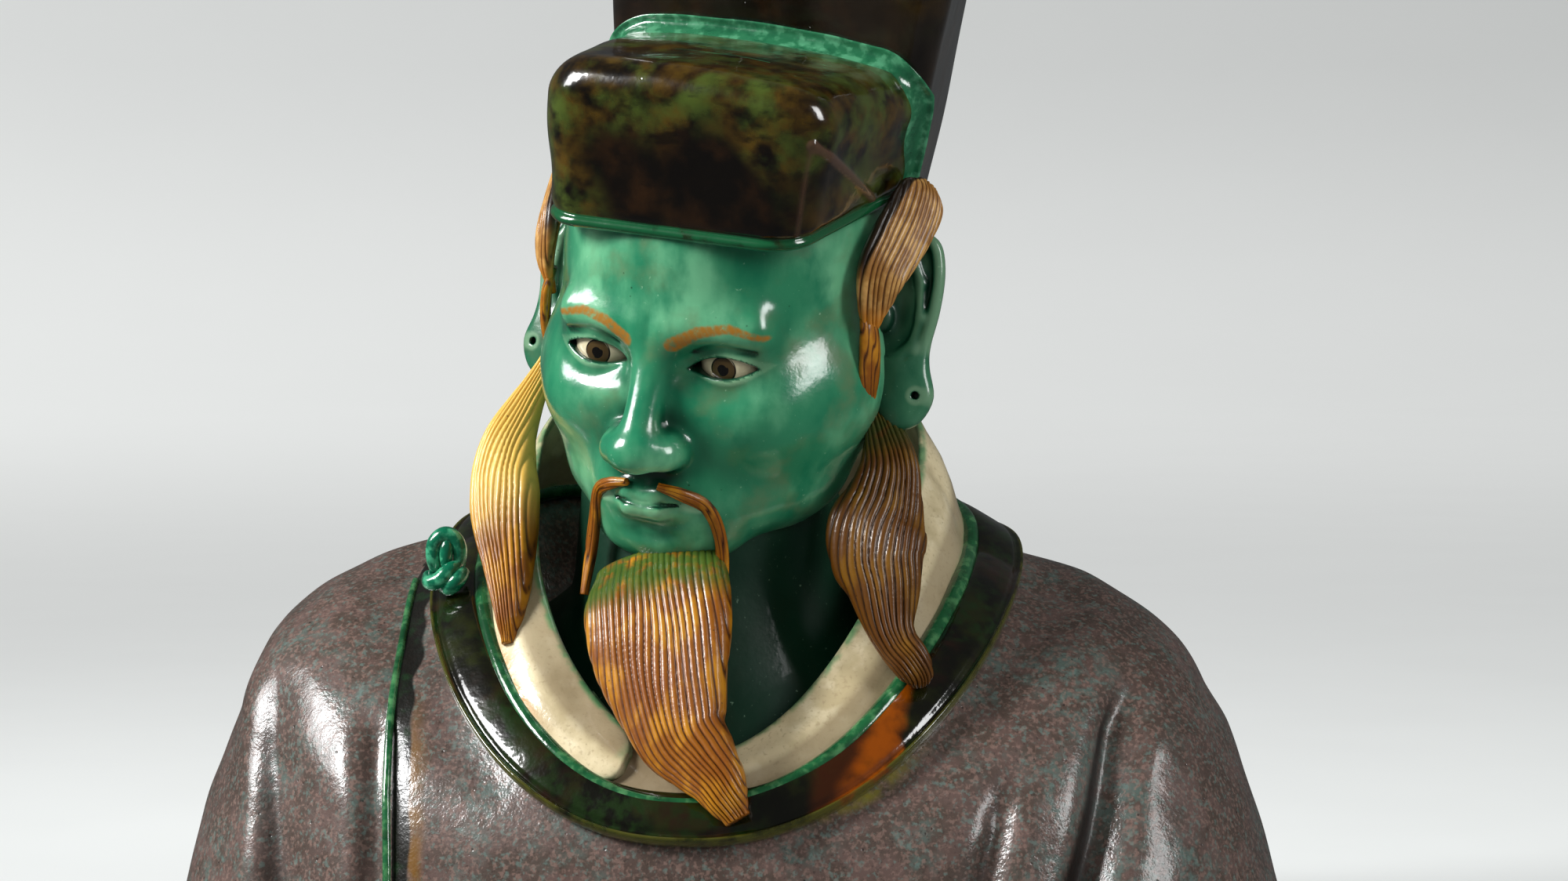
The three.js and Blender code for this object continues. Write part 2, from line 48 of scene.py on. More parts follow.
# Robe: one row for each ring from the cut at the chest to the neckline. Each row holds half width,
# depth in front, depth behind, and the ring's height at side, front and back.
ROBE_RINGS = [
    [211, 113, 98, 0, 0, 0],
    [204, 114, 99, 31, 12, 32],
    [195, 114, 98, 62, 24, 64],
    [182, 113, 95, 93, 35, 94],
    [168, 112, 89, 118, 45, 118],
    [141, 111, 80, 135, 53, 138],
    [115, 109, 69, 139.5, 60, 152],
    [89, 104, 57, 153, 71, 165],
]
NECKLINE = 7
ROBE_COUNTS = 165, 480  # rings, and points round each of them
CROWDING = 0.45  # how closely those points crowd to the front
SHOULDER_BUMP = dict(rise=5.5, x=-158, z=106, wide=28, tall=36)
FLAP_STEP, PIPING_RADIUS = 0.8, 1.5
ROBE_SQUARENESS = (2.4, 2.25)  # superellipse exponents at the cut and at the neckline
SHOULDER_TILT = 0.022
INNER_COLLAR_TOP = [72, 88, 50, 188, 88, 208]  # a row like those of the robe
INNER_COLLAR_START, INNER_COLLAR_TURN = 122, 378  # degrees: where it starts in front, and how far it runs
COLLAR_HALF, COLLAR_THICK = 9.5, 4
COLLAR_RING, PIPING_RING = 6.55, 7.28  # where the outer collar and the piping inside it lie

# Valleys in the robe: path [x, z] seen from the front, depth, reach to its left and right, and
# height of the bank on the steeper side. A negative depth makes a raised roll.
FOLDS = [
    ([[153, 116], [152.5, 100], [151, 86], [149, 70], [146.5, 57], [143.5, 44], [139, 22], [134, 0]],
     11, 9, 4.6, 1.6),
    ([[113, 84], [111.5, 64], [107.5, 46], [103, 24], [99, 0]], 6, 7, 3.8, 0.5),
    ([[170, 104], [171, 80], [168, 50], [160, 0]], -4, 13, 15, 0),
    ([[-158, 112], [-160, 95], [-160, 79], [-158, 58], [-156, 36], [-155, 0]], 6, 4.4, 17, 2),
    ([[-122, 100], [-119, 86], [-116.5, 63], [-116, 40], [-116, 0]], 4.5, 4, 9, 1.4),
]
FLAP_EDGE = [[-117, 139], [-114.5, 122], [-112.8, 102], [-110, 75], [-107.5, 40], [-107, 0]]

# Head: origin at brow level on the neck's axis, X to the figure's left, Y back, Z up.
HEAD_AT = (4, -30, 251.5)
HEAD_TURNS = (16, 6.5, -15)  # pitch, roll, yaw in degrees
HALF_WIDTH = 62
CHIN = -88
NOSE_BASE = -44
EYE = np.array([24.5, -45.5, -11])
EYE_RADIUS = 13
GAZE, IRIS, PUPIL = [0.02, -1, -0.02], 20, 8.5  # direction, and degrees off it
MOUTH = -59
HEAD_CUT = 46  # the skull ends here, inside the cap
FACE_PITCH, CHIN_PITCH, BACK_PITCH, EAR_PITCH = 0.82, 1.3, 1.5, 0.66  # mm between grid lines

# Cap, in the head's frame: height of its brim, shift to the left, and lean and widening for each mm up.
CAP_BRIM, CAP_SHIFT, CAP_LEAN, CAP_FLARE = 37, 4.5, 0.1, 0.002
FRONT_TIER = dict(front=-62, back=18, halves=(49.5, 57), corners=(15, 4))
REAR_TIER = dict(front=12, back=79, halves=(59.5, 48), corners=(10, 20))
FRONT_TOP, FRONT_EDGE = (97, 90), (13, 17)  # height and edge radius of its top, in front and behind
FRONT_CROWN, FRONT_SLOPE = 4, 0.04
FRONT_INNER, REAR_INNER = 36, 31  # how far inside its outline the last ring of each top lies
REAR_NAPE, REAR_TOP, REAR_EDGE, REAR_CROWN = 4, 150, 9, 1.5
CAP_CREASES = [  # points on the front tier in the head's frame
    [[57.9, -56.9, 74.3], [61.1, -49.1, 68.5], [61.4, -29.9, 56.5], [60.4, -8.3, 42.1]],
    [[57.9, -56.9, 74.3], [54.9, -57, 58.5], [51.7, -56.4, 41.1]],
]

NECK_RINGS = [
    [0, -18, 84, 76, 72, 148],
    [-1, -17, 66, 66, 90, 158],
    [-3, -15, 54, 56, 112, 166],
    [-5, -14, 48, 50, 140, 180],
    [-6, -17, 46, 48, 185, 205],
    [-4, -21, 44, 46, 222, 232],
]

# Locks of hair: centre points, half width and half thickness at each of them.
GOATEE = dict(
    path=[
        [-15.5, -62, 152], [-14, -77, 142.5], [-12, -84.5, 131.5], [-9.5, -91, 120.5], [-5.5, -98, 108.5],
        [0, -105, 96.5], [7, -110, 89], [13, -114, 82.5], [17, -116.5, 76], [21, -118, 69.5],
    ],
    width=[24, 27, 27, 25, 21, 17, 13.5, 10.5, 8, 4.8],
    thick=[8, 10, 10.5, 10, 9.5, 9, 8, 7, 6, 3.5],
    facing=[-0.1, -1, 0.15],
)
WHISKER_LEFT = dict(
    path=[
        [58, -40, 214], [63, -45, 199], [65.5, -50, 188], [64.5, -55, 177], [62.5, -60, 166.5],
        [63, -64, 156.5], [65.5, -67, 147], [68, -70, 134], [71, -72, 127], [75.5, -73.5, 121],
        [78.5, -73.5, 115.5], [78.8, -72, 112],
    ],
    width=[2, 7.5, 10.8, 14.2, 18, 17.4, 14.2, 9.6, 7.8, 7.4, 6, 3],
    thick=[2, 5, 7, 8, 9, 9, 8, 7, 6.5, 6.5, 5.5, 3],
    facing=[0.2, -1, 0],
)
WHISKER_RIGHT = dict(
    path=[
        [-60, -14, 232], [-66, -16, 220], [-72.5, -20, 207], [-77.5, -25, 194.5],
        [-78.8, -30, 183.5], [-77.5, -36, 172.5], [-75.6, -42, 162], [-73.6, -48, 151.5],
        [-72, -54, 141], [-71, -60, 131], [-70.5, -64, 123],
    ],
    width=[3, 4, 6.5, 10, 12.5, 14, 12.8, 10.2, 7.6, 4.8, 2.4],
    thick=[3, 4, 6, 8, 9, 9, 8.5, 7.5, 6.5, 5, 3],
    facing=[-0.35, -1, 0],
)
# These three are in the head's own frame, and each has a mirrored twin.
TUFT = dict(
    path=[
        [63, -16, -6], [65, -17.4, 6], [66, -13, 17], [67.5, -3, 25], [69, 7, 32],
        [70, 15, 38], [70, 19, 41],
    ],
    width=[2.5, 7, 10.5, 12, 12, 10.5, 5],
    thick=[1.5, 3, 4, 4.5, 4.5, 4.2, 2.5],
    facing=[1, -0.75, 0.1],
)
SIDEBURN = dict(
    path=[[62, -17, 4], [64, -19, -6], [64, -19, -20], [60.5, -15, -40]],
    width=[3.4, 4.6, 5, 3.6],
    thick=[1.6, 2, 2, 1.6],
    facing=[1, -0.4, 0],
)
MOUSTACHE = dict(
    path=[
        [6, -73, -52.5], [14, -71, -55], [21, -64.5, -61], [24.5, -61, -72], [26, -62, -86],
        [25.5, -69, -100],
    ],
    width=[1.4, 2.4, 2.6, 2.4, 2.4, 1.6],
    thick=[1.4, 2, 2.2, 2, 2, 1.5],
    facing=[0.3, -1, 0],
)

# Ear, in its own plane: outline points [out from the head, up].
EAR_OUTLINE = [
    [-6, -12], [-2, 2], [4, 8], [11, 9], [16, 5], [18.5, -5], [18.5, -18], [17, -30],
    [16.5, -40], [20, -49], [16, -58], [8, -61], [2, -55], [-2, -42], [-6, -34],
]
EAR_AT, EAR_FLARE, EAR_TILT = (61, 14, 15), 10, 21
EAR_MIDDLE, EAR_HALF = 1.5, 3  # where the plate lies along its own normal, and half its thickness
KNOT_AT = np.array([-99, -37, 147])
KNOT_SCALE = 0.87


# Small maths

def table_at(rows, position, straight_ends=False):
    """Smooth value of a table of rows at positions counted in rows."""
    rows = np.asarray(rows, float)
    position = np.asarray(position, float)
    ends = (2 * rows[0] - rows[1], 2 * rows[-1] - rows[-2]) if straight_ends else (rows[0], rows[-1])
    padded = np.vstack([ends[0], rows, ends[1]])
    i = np.clip(np.floor(position).astype(int), 0, len(rows) - 2)
    t = (position - i)[..., None]
    a, b, d, e = (padded[i + k] for k in range(4))
    return b + 0.5 * t * (d - a + t * (2 * a - 5 * b + 4 * d - e + t * (3 * (b - d) + e - a)))


def unit(v):
    return v / np.maximum(np.linalg.norm(v, axis=-1, keepdims=True), 1e-9)


def dot(a, b):
    return (a * b).sum(-1, keepdims=True)


def direction_at(rows, position):
    """Unit vectors along a smooth path at positions counted in rows."""
    return unit(table_at(rows, position + 0.02, True) - table_at(rows, position - 0.02, True))


def circle(count):
    """Angles spread evenly round a circle."""
    return np.linspace(0, 2 * math.pi, count, endpoint=False)


def power(x, exponent):
    """A power of the size of x, with the sign of x."""
    return np.sign(x) * np.abs(x) ** exponent


def bell(x):
    return np.exp(-x * x)


def smoothstep(low, high, x):
    t = np.clip((x - low) / (high - low), 0, 1)
    return t * t * (3 - 2 * t)


def waves(points, size, seed):
    """Smooth random relief of about -1 to 1 through space, with features about size mm across."""
    rng = np.random.default_rng(seed)
    total = 0
    for _ in range(7):
        direction = unit(rng.normal(size=3)) * rng.uniform(0.7, 1.3) * math.pi / size
        total = total + np.sin(points @ direction + rng.uniform(0, 2 * math.pi))
    return total / 3


def rotation(axis, degrees):
    c, s = math.cos(math.radians(degrees)), math.sin(math.radians(degrees))
    i, j = [(1, 2), (2, 0), (0, 1)][axis]
    m = np.eye(3)
    m[i, i], m[i, j], m[j, i], m[j, j] = c, -s, s, c
    return m


HEAD_ROTATION = rotation(1, HEAD_TURNS[1]) @ rotation(2, HEAD_TURNS[2]) @ rotation(0, HEAD_TURNS[0])


def from_head(points):
    return points @ HEAD_ROTATION.T + np.array(HEAD_AT)


def from_segment(p, a, b):
    """Vector from the nearest point of a segment to p, and that point's share along it."""
    a, b = np.asarray(a, float), np.asarray(b, float)
    d = b - a
    t = np.clip(((p - a) @ d) / (d @ d), 0, 1)
    return p - a - t[..., None] * d, t


def path_distance(x, z, path):
    """Signed distance to a path in the XZ plane, positive on its right going down, and share along it."""
    path = np.asarray(path, float)
    best = np.full(x.shape, np.inf)
    side = np.zeros(x.shape)
    share = np.zeros(x.shape)
    for i, ((ax, az), (bx, bz)) in enumerate(zip(path[:-1], path[1:])):
        dx, dz = bx - ax, bz - az
        t = np.clip(((x - ax) * dx + (z - az) * dz) / (dx * dx + dz * dz), 0, 1)
        away = np.hypot(x - ax - t * dx, z - az - t * dz)
        nearer = away < best
        best = np.where(nearer, away, best)
        side = np.where(nearer, np.sign((z - az) * dx - (x - ax) * dz), side)
        share = np.where(nearer, (i + t) / (len(path) - 1), share)
    return best * side, share


# Meshes

def grid_faces(rows, columns, close_rows=False):
    """Quads between rings of points, each closed to itself."""
    r = np.arange(rows if close_rows else rows - 1)[:, None]
    c = np.arange(columns)[None, :]
    r2, c2 = (r + 1) % rows, (c + 1) % columns
    corners = [r * columns + c, r * columns + c2, r2 * columns + c2, r2 * columns + c]
    return np.stack(np.broadcast_arrays(*corners), -1).reshape(-1, 4)


def mesh_object(name, points, faces, material, marks):
    """A smooth mesh from points in metres, faces of one or more widths, and named point values."""
    mesh = bpy.data.meshes.new(name)
    mesh.vertices.add(len(points))
    mesh.vertices.foreach_set("co", points.astype(np.float32).ravel())
    loops = np.concatenate([f.ravel() for f in faces])
    sizes = np.concatenate([np.full(len(f), f.shape[1]) for f in faces])
    mesh.loops.add(len(loops))
    mesh.loops.foreach_set("vertex_index", loops.astype(np.int32))
    mesh.polygons.add(len(sizes))
    mesh.polygons.foreach_set("loop_start", (np.cumsum(sizes) - sizes).astype(np.int32))
    mesh.polygons.foreach_set("use_smooth", np.ones(len(sizes), bool))
    mesh.update(calc_edges=True)
    mesh.validate()
    for key, values in marks.items():
        values = np.broadcast_to(np.asarray(values, np.float32).ravel(), len(points))
        mesh.attributes.new(key, "FLOAT", "POINT").data.foreach_set("value", values.copy())
    mesh.materials.append(material)
    obj = bpy.data.objects.new(name, mesh)
    bpy.context.scene.collection.objects.link(obj)
    return obj


def piece(name, points, faces, look, marks):
    """A piece of the bust, from points in mm."""
    slot, material = look
    obj = mesh_object(name, points * MM, faces, material, marks)
    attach(obj, "root")
    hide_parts(NODE)


def rings_piece(name, rings, look, marks=None, closed=False):
    """A piece from rings of points, closed to itself or closed at both ends."""
    rows, columns = rings.shape[:2]
    points = rings.reshape(-1, 3)
    faces = [grid_faces(rows, columns, close_rows=closed)]
    marks = {key: np.broadcast_to(value, (rows, columns)).ravel() for key, value in (marks or {}).items()}
    if not closed:
        c = np.arange(columns)
        for start, middle, flip in ((0, len(points), False), ((rows - 1) * columns, len(points) + 1, True)):
            pair = (start + c, start + (c + 1) % columns)
            a, b = pair if flip else pair[::-1]
            faces.append(np.stack([a, b, np.full(columns, middle)], -1))
        points = np.vstack([points, rings[0].mean(0), rings[-1].mean(0)])
        marks = {key: np.r_[value, value[0], value[-1]] for key, value in marks.items()}
    piece(name, points, faces, look, marks)


def steps(*parts):
    """Grid lines from (start, end, pitch) parts that join end to end."""
    lines = [np.linspace(a, b, round((b - a) / pitch), endpoint=False) for a, b, pitch in parts]
    return np.concatenate([*lines, [parts[-1][1]]])


def gradient(distance, points, reach=0.15):
    shifts = np.eye(3) * reach
    return np.stack([distance(points + s) - distance(points - s) for s in shifts], -1) / (2 * reach)


COARSE = 4  # grid lines from one rough sample of a distance function to the next


def surface_nets(distance, grids, near=9):
    """Quads over the zero level of a distance function, sampled in full where it is under near mm."""
    coarse = [np.unique(np.r_[np.arange(0, len(g), COARSE), len(g) - 1]) for g in grids]
    nodes = np.meshgrid(*[g[c] for g, c in zip(grids, coarse)], indexing="ij")
    rough = distance(np.stack(nodes, -1))
    pick = [np.round(np.arange(len(g)) / COARSE).astype(int) for g in grids]
    value = rough[np.ix_(*[np.minimum(k, len(c) - 1) for k, c in zip(pick, coarse)])]
    close = np.argwhere(np.abs(value) < near)
    value[tuple(close.T)] = distance(np.stack([g[close[:, k]] for k, g in enumerate(grids)], -1))
    inside = value < 0

    corner = np.array([[i, j, k] for i in (0, 1) for j in (0, 1) for k in (0, 1)])
    shape = np.array(inside.shape) - 1
    nx, ny, nz = shape
    count = sum(inside[i:i + nx, j:j + ny, k:k + nz].astype(np.int8) for i, j, k in corner)
    cells = np.argwhere((count > 0) & (count < 8))
    number = np.full(shape, -1)
    number[tuple(cells.T)] = np.arange(len(cells))
    index = cells[:, None, :] + corner
    values = value[index[..., 0], index[..., 1], index[..., 2]]
    places = np.stack([g[index[..., k]] for k, g in enumerate(grids)], -1)
    total = np.zeros((len(cells), 3))
    weight = np.zeros((len(cells), 1))
    for a in range(8):
        for b in range(a + 1, 8):
            if np.abs(corner[a] - corner[b]).sum() == 1:
                va, vb = values[:, a, None], values[:, b, None]
                crossed = (va < 0) != (vb < 0)
                t = np.where(crossed, va / np.where(crossed, va - vb, 1), 0)
                total += crossed * (places[:, a] + t * (places[:, b] - places[:, a]))
                weight += crossed
    points = total / weight
    for _ in range(2):
        slope = gradient(distance, points)
        move = slope * (distance(points)[:, None] / np.maximum(dot(slope, slope), 0.05))
        points = points - np.clip(move, -0.5, 0.5)

    faces = []
    for axis in range(3):
        u, v = (axis + 1) % 3, (axis + 2) % 3
        low = [slice(None)] * 3
        high = [slice(None)] * 3
        low[axis], high[axis] = slice(None, -1), slice(1, None)
        for w in (u, v):
            low[w] = high[w] = slice(1, -1)
        first, second = inside[tuple(low)], inside[tuple(high)]
        edges = np.argwhere(first != second)
        outward = first[tuple(edges.T)]
        edges[:, u] += 1
        edges[:, v] += 1
        quad = []
        for du, dv in ((-1, -1), (0, -1), (0, 0), (-1, 0)):
            cell = edges.copy()
            cell[:, u] += du
            cell[:, v] += dv
            quad.append(number[tuple(cell.T)])
        quad = np.stack(quad, -1)
        faces += [quad[outward], quad[~outward][:, ::-1]]
    return points, np.concatenate(faces)


# Glazes

def colour(rgb):
    """A shader colour from its usual 0 to 255 screen values."""
    return (*[(v / 255 / 12.92 if v <= 10 else ((v / 255 + 0.055) / 1.055) ** 2.4) for v in rgb], 1)


class Glaze:
    """The node tree of one glaze: colour in layers, gloss, and fine relief."""

    def __init__(self, name, base, roughness=0.3, coat=1.0, coat_roughness=0.06):
        self.material = bpy.data.materials.new(name)
        self.material.use_nodes = True
        self.tree = self.material.node_tree
        self.shader = self.tree.nodes["Principled BSDF"]
        self.shader.inputs["Roughness"].default_value = roughness
        self.shader.inputs["Coat Weight"].default_value = coat
        self.shader.inputs["Coat Roughness"].default_value = coat_roughness
        self.shader.inputs["Specular IOR Level"].default_value = 0.25
        self.place = self.tree.nodes.new("ShaderNodeTexCoord").outputs["Object"]
        self.colour = colour(base)
        self.height = None

    def node(self, kind, inputs, **settings):
        made = self.tree.nodes.new(kind)
        for key, value in settings.items():
            setattr(made, key, value)
        for key, value in inputs.items():
            if isinstance(value, bpy.types.NodeSocket):
                self.tree.links.new(value, made.inputs[key])
            else:
                made.inputs[key].default_value = value
        return made

    def ranged(self, value, low, high, top=1.0):
        inputs = {"Value": value, "From Min": low, "From Max": high, "To Min": 0.0, "To Max": top}
        return self.node("ShaderNodeMapRange", inputs, interpolation_type="SMOOTHSTEP").outputs[0]

    def noise(self, size, low=0.4, high=0.6, top=1.0, seed=0, detail=4, stretch=(1, 1, 1)):
        """Mask of clouds about size mm across."""
        place = self.node("ShaderNodeMapping", {"Vector": self.place, "Scale": stretch}).outputs[0]
        inputs = {"Vector": place, "W": float(seed), "Scale": 1 / (size * MM), "Detail": float(detail)}
        value = self.node("ShaderNodeTexNoise", inputs, noise_dimensions="4D").outputs[0]
        return self.ranged(value, low, high, top)

    def specks(self, size, radius, top=1.0):
        """Mask of small dots spread about size mm apart, radius as a share of that."""
        inputs = {"Vector": self.place, "Scale": 1 / (size * MM)}
        value = self.node("ShaderNodeTexVoronoi", inputs).outputs["Distance"]
        return self.ranged(value, radius, radius * 0.4, top)

    def mark(self, name, low=0.0, high=1.0, top=1.0):
        """Mask from a point value of the mesh."""
        value = self.node("ShaderNodeAttribute", {}, attribute_name=name).outputs["Fac"]
        return self.ranged(value, low, high, top)

    def maths(self, operation, a, b):
        return self.node("ShaderNodeMath", {0: a, 1: b}, operation=operation).outputs[0]

    def times(self, a, b):
        return self.maths("MULTIPLY", a, b)

    def drive(self, key, value):
        self.tree.links.new(value, self.shader.inputs[key])

    def layer(self, tint, *masks):
        """Lays a colour over those so far, where all its masks are high."""
        mask = masks[0]
        for other in masks[1:]:
            mask = self.times(mask, other)
        mixed = self.node("ShaderNodeMix", {0: mask, 6: self.colour, 7: colour(tint)}, data_type="RGBA")
        self.colour = mixed.outputs[2]

    def relief(self, mask, height):
        """Adds a mask to the bump, height in mm."""
        raised = self.times(mask, height * MM)
        self.height = raised if self.height is None else self.maths("ADD", self.height, raised)

    def uneven(self, size, height, seed, detail=3):
        """Adds soft unevenness about size mm across to the bump, height in mm."""
        self.relief(self.noise(size, 0.2, 0.8, 1, seed, detail), height)

    def gloss(self, rough, mask):
        """Lets the roughness run from the value given so far to rough."""
        start = self.shader.inputs["Roughness"].default_value
        inputs = {"Value": mask, "From Min": 0.0, "From Max": 1.0, "To Min": start, "To Max": rough}
        self.drive("Roughness", self.node("ShaderNodeMapRange", inputs).outputs[0])

    def done(self):
        self.drive("Base Color", self.colour)
        if self.height is not None:
            bump = self.node("ShaderNodeBump", {"Height": self.height, "Strength": 1.0, "Distance": 1.0})
            for key in ("Normal", "Coat Normal"):
                self.drive(key, bump.outputs[0])
        return self.material


def robe_glaze():
    g = Glaze("robe_mauve_glaze", (70, 58, 51), 0.38, 0.6, 0.13)
    g.layer((92, 73, 68), g.noise(10, 0.42, 0.6, 0.8, 1, 6))
    g.layer((66, 54, 48), g.noise(34, 0.45, 0.62, 0.6, 2, 5))
    g.layer((74, 92, 86), g.noise(30, 0.48, 0.62, 1, 3, 3), g.noise(4, 0.42, 0.6, 0.75, 4, 6))
    g.layer((122, 98, 89), g.noise(1.5, 0.48, 0.64, 0.6, 5, 4))
    g.layer((88, 108, 102), g.noise(1.9, 0.53, 0.66, 0.6, 14, 4))
    g.layer((44, 34, 30), g.noise(1.1, 0.56, 0.72, 0.6, 6, 4))
    g.layer((30, 20, 17), g.specks(7, 0.09, 0.8))
    # Painted shade: near-black brown laid in the fold valleys and on the walls beside them.
    g.layer((22, 15, 12), g.mark("valley_shade", 0.05, 0.9, 0.95))
    g.layer((104, 70, 14), g.mark("ochre"), g.noise(9, 0.26, 0.56, 0.95, 8, 4))
    g.layer((112, 104, 24), g.mark("run"), g.noise(6, 0.35, 0.6, 0.95, 9, 4))
    g.layer((9, 9, 5), g.mark("strip", 0.2, 0.8, 0.97))
    g.layer((20, 46, 22), g.mark("strip"), g.noise(9, 0.5, 0.66, 0.7, 10, 4))
    g.uneven(0.9, 0.05, 11)
    g.uneven(5, 0.14, 12)
    g.relief(g.specks(7, 0.1), -0.12)
    dry = g.maths("SUBTRACT", 1.0, g.mark("strip", 0.2, 0.8))
    hollow = g.mark("valley_shade", 0.2, 0.8)
    g.drive("Coat Weight", g.maths("SUBTRACT", 0.6, g.times(hollow, 0.55)))
    g.gloss(0.54, g.maths("MAXIMUM", hollow, g.times(g.noise(6, 0.35, 0.65, 1, 13, 5), dry)))
    return g.done()


def face_glaze():
    g = Glaze("face_green_glaze", (40, 120, 84), 0.28, 1.0, 0.15)
    g.layer((104, 170, 128), g.noise(26, 0.4, 0.66, 0.85, 1, 5, (1, 1, 0.7)))
    g.layer((6, 104, 72), g.noise(12, 0.44, 0.7, 0.8, 2, 5, (1, 1, 0.6)))
    g.layer((88, 112, 78), g.noise(20, 0.5, 0.7, 0.75, 8, 5))
    g.layer((146, 190, 150), g.mark("ridge", 0.35, 0.95, 0.7))
    g.layer((8, 88, 58), g.mark("pool", 0.1, 0.7), g.noise(7, 0.25, 0.6, 0.85, 9, 4))
    g.layer((0, 56, 36), g.mark("cavity", 0.15, 0.8, 0.85))
    g.layer((2, 30, 18), g.mark("cavity", 0.55, 1, 0.8))
    # Painted shade: near-black green where the deep mark is high, under the chin, down the neck and over
    # the ears.
    g.layer((1, 34, 20), g.mark("deep", 0, 1, 0.97))
    g.layer((150, 94, 10), g.mark("amber", 0.1, 0.9), g.noise(2.6, 0.2, 0.5, 0.9, 4, 3))
    g.layer((12, 36, 20), g.specks(9, 0.06, 0.7))
    g.layer((176, 214, 180), g.noise(1.6, 0.66, 0.78, 0.3, 5, 3))
    g.uneven(7, 0.1, 6)
    g.uneven(1.4, 0.015, 7, 2)
    shaded = g.mark("deep", 0.1, 1, 0.75)
    g.drive("Coat Weight", g.maths("SUBTRACT", 1.0, shaded))
    g.gloss(0.55, shaded)
    return g.done()


def cap_glaze():
    g = Glaze("cap_dark_glaze", (6, 3, 1), 0.2, 1.0, 0.07)
    g.layer((40, 22, 5), g.noise(16, 0.4, 0.72, 0.9, 1, 4))
    olive = g.mark("olive", 0.05, 0.9)
    g.layer((78, 58, 12), olive, g.noise(10, 0.36, 0.7, 0.85, 2, 6))
    g.layer((60, 74, 26), olive, g.noise(14, 0.42, 0.66, 0.95, 6, 6))
    g.layer((8, 4, 1), g.noise(6, 0.5, 0.72, 0.8, 4, 5, (0.6, 1, 1.4)))
    g.layer((84, 96, 66), g.mark("top", 0.1, 1, 0.9), g.noise(10, 0.38, 0.64, 0.9, 10, 5))
    g.layer((16, 76, 44), g.mark("brim", 0.3, 0.9), g.noise(6, 0.2, 0.5, 0.95, 11, 4))
    # Painted reflection: greyish patches over the rear tier stand in for the pale grazing reflection on its
    # sides.
    g.layer((42, 36, 31), g.mark("tall"), g.noise(30, 0.34, 0.62, 0.45, 7, 5))
    g.layer((84, 60, 48), g.mark("line", 0.2, 0.9, 0.7))
    g.uneven(12, 0.14, 8)
    g.uneven(1.2, 0.012, 9, 2)
    g.relief(g.specks(8, 0.07), -0.08)
    return g.done()


def hair_glaze():
    g = Glaze("hair_amber_glaze", (130, 74, 2), 0.46, 0.32, 0.09)
    g.layer((178, 120, 16), g.noise(9, 0.44, 0.62, 0.8, 1, 5, (1, 1, 0.5)))
    g.layer((118, 62, 3), g.noise(14, 0.46, 0.64, 0.85, 2, 4))
    g.layer((84, 40, 2), g.mark("groove", 0.15, 0.5, 0.9))
    g.layer((28, 13, 1), g.mark("groove", 0.42, 0.85, 0.95))
    g.layer((46, 82, 24), g.mark("root"), g.noise(6, 0.25, 0.5, 0.9, 3, 3))
    # Painted shade where the dark mark is high: it darkens the whole left whisker.
    g.layer((34, 26, 5), g.mark("dark", 0, 1, 0.85))
    # Painted highlight: a pale golden sheen over the upper part of the right whisker.
    g.layer((232, 190, 92), g.mark("painted_sheen", 0, 1, 0.7))
    g.layer((54, 26, 6), g.specks(6, 0.08, 0.7))
    g.uneven(1.5, 0.05, 5)
    return g.done()


def tuft_glaze():
    g = Glaze("tuft_brown_glaze", (140, 96, 42), 0.44, 0.35, 0.09)
    g.layer((196, 152, 88), g.noise(8, 0.42, 0.62, 0.8, 1, 4))
    g.layer((92, 52, 16), g.mark("groove", 0.15, 0.5, 0.9))
    g.layer((34, 17, 5), g.mark("groove", 0.42, 0.85, 0.95))
    g.layer((20, 12, 6), g.mark("dark", 0, 0.8, 0.97))
    g.layer((184, 112, 14), g.mark("root", 0, 1, 0.85))
    g.uneven(1.5, 0.05, 5)
    return g.done()


def collar_glaze():
    g = Glaze("collar_dark_glaze", (9, 9, 3), 0.2, 1.0, 0.05)
    g.layer((30, 34, 7), g.noise(14, 0.44, 0.62, 0.85, 1, 5))
    g.layer((20, 38, 10), g.noise(24, 0.46, 0.6, 0.9, 2, 4), g.noise(5, 0.4, 0.6, 1, 3, 4))
    g.layer((34, 16, 8), g.noise(26, 0.5, 0.64, 0.9, 7, 4), g.noise(7, 0.36, 0.6, 1, 8, 4))
    g.layer((46, 18, 3), g.mark("umber", 0.1, 0.9, 0.92))
    g.layer((124, 58, 1), g.mark("amber", 0.1, 1, 0.95), g.noise(8, 0.2, 0.66, 1, 9, 5))
    g.layer((66, 66, 20), g.mark("rim", 0.2, 0.9), g.noise(8, 0.25, 0.55, 0.9, 4, 4))
    g.uneven(8, 0.15, 5)
    g.uneven(1.2, 0.012, 6, 2)
    return g.done()


def green_glaze(name, base, dark, light):
    g = Glaze(name, base, 0.22, 1.0, 0.05)
    g.layer(light, g.noise(4, 0.46, 0.62, 0.85, 1, 5))
    g.layer(dark, g.noise(9, 0.46, 0.64, 0.85, 2, 4))
    g.layer(dark, g.mark("cavity", 0.2, 0.9, 0.8))
    g.uneven(2.5, 0.06, 3)
    return g.done()


def cream_glaze():
    g = Glaze("collar_cream_glaze", (210, 195, 158), 0.36, 0.7, 0.12)
    g.layer((168, 152, 116), g.noise(20, 0.42, 0.62, 0.75, 1, 5))
    g.layer((220, 208, 176), g.noise(9, 0.52, 0.7, 0.6, 2, 4))
    g.layer((150, 132, 100), g.noise(1.4, 0.54, 0.7, 0.45, 3, 4))
    g.layer((128, 112, 86), g.mark("shade", 0.1, 1, 0.9))
    g.layer((64, 134, 84), g.mark("edge", 0.2, 0.9), g.noise(7, 0.34, 0.6, 0.85, 4, 4))
    g.layer((18, 84, 50), g.mark("edge", 0.6, 1), g.noise(5, 0.35, 0.55, 0.9, 5, 4))
    g.layer((182, 118, 22), g.mark("amber"), g.noise(5, 0.25, 0.5, 0.95, 6, 3))
    g.layer((96, 80, 54), g.specks(5, 0.07, 0.6))
    g.uneven(1.1, 0.03, 7)
    g.uneven(9, 0.15, 8)
    return g.done()


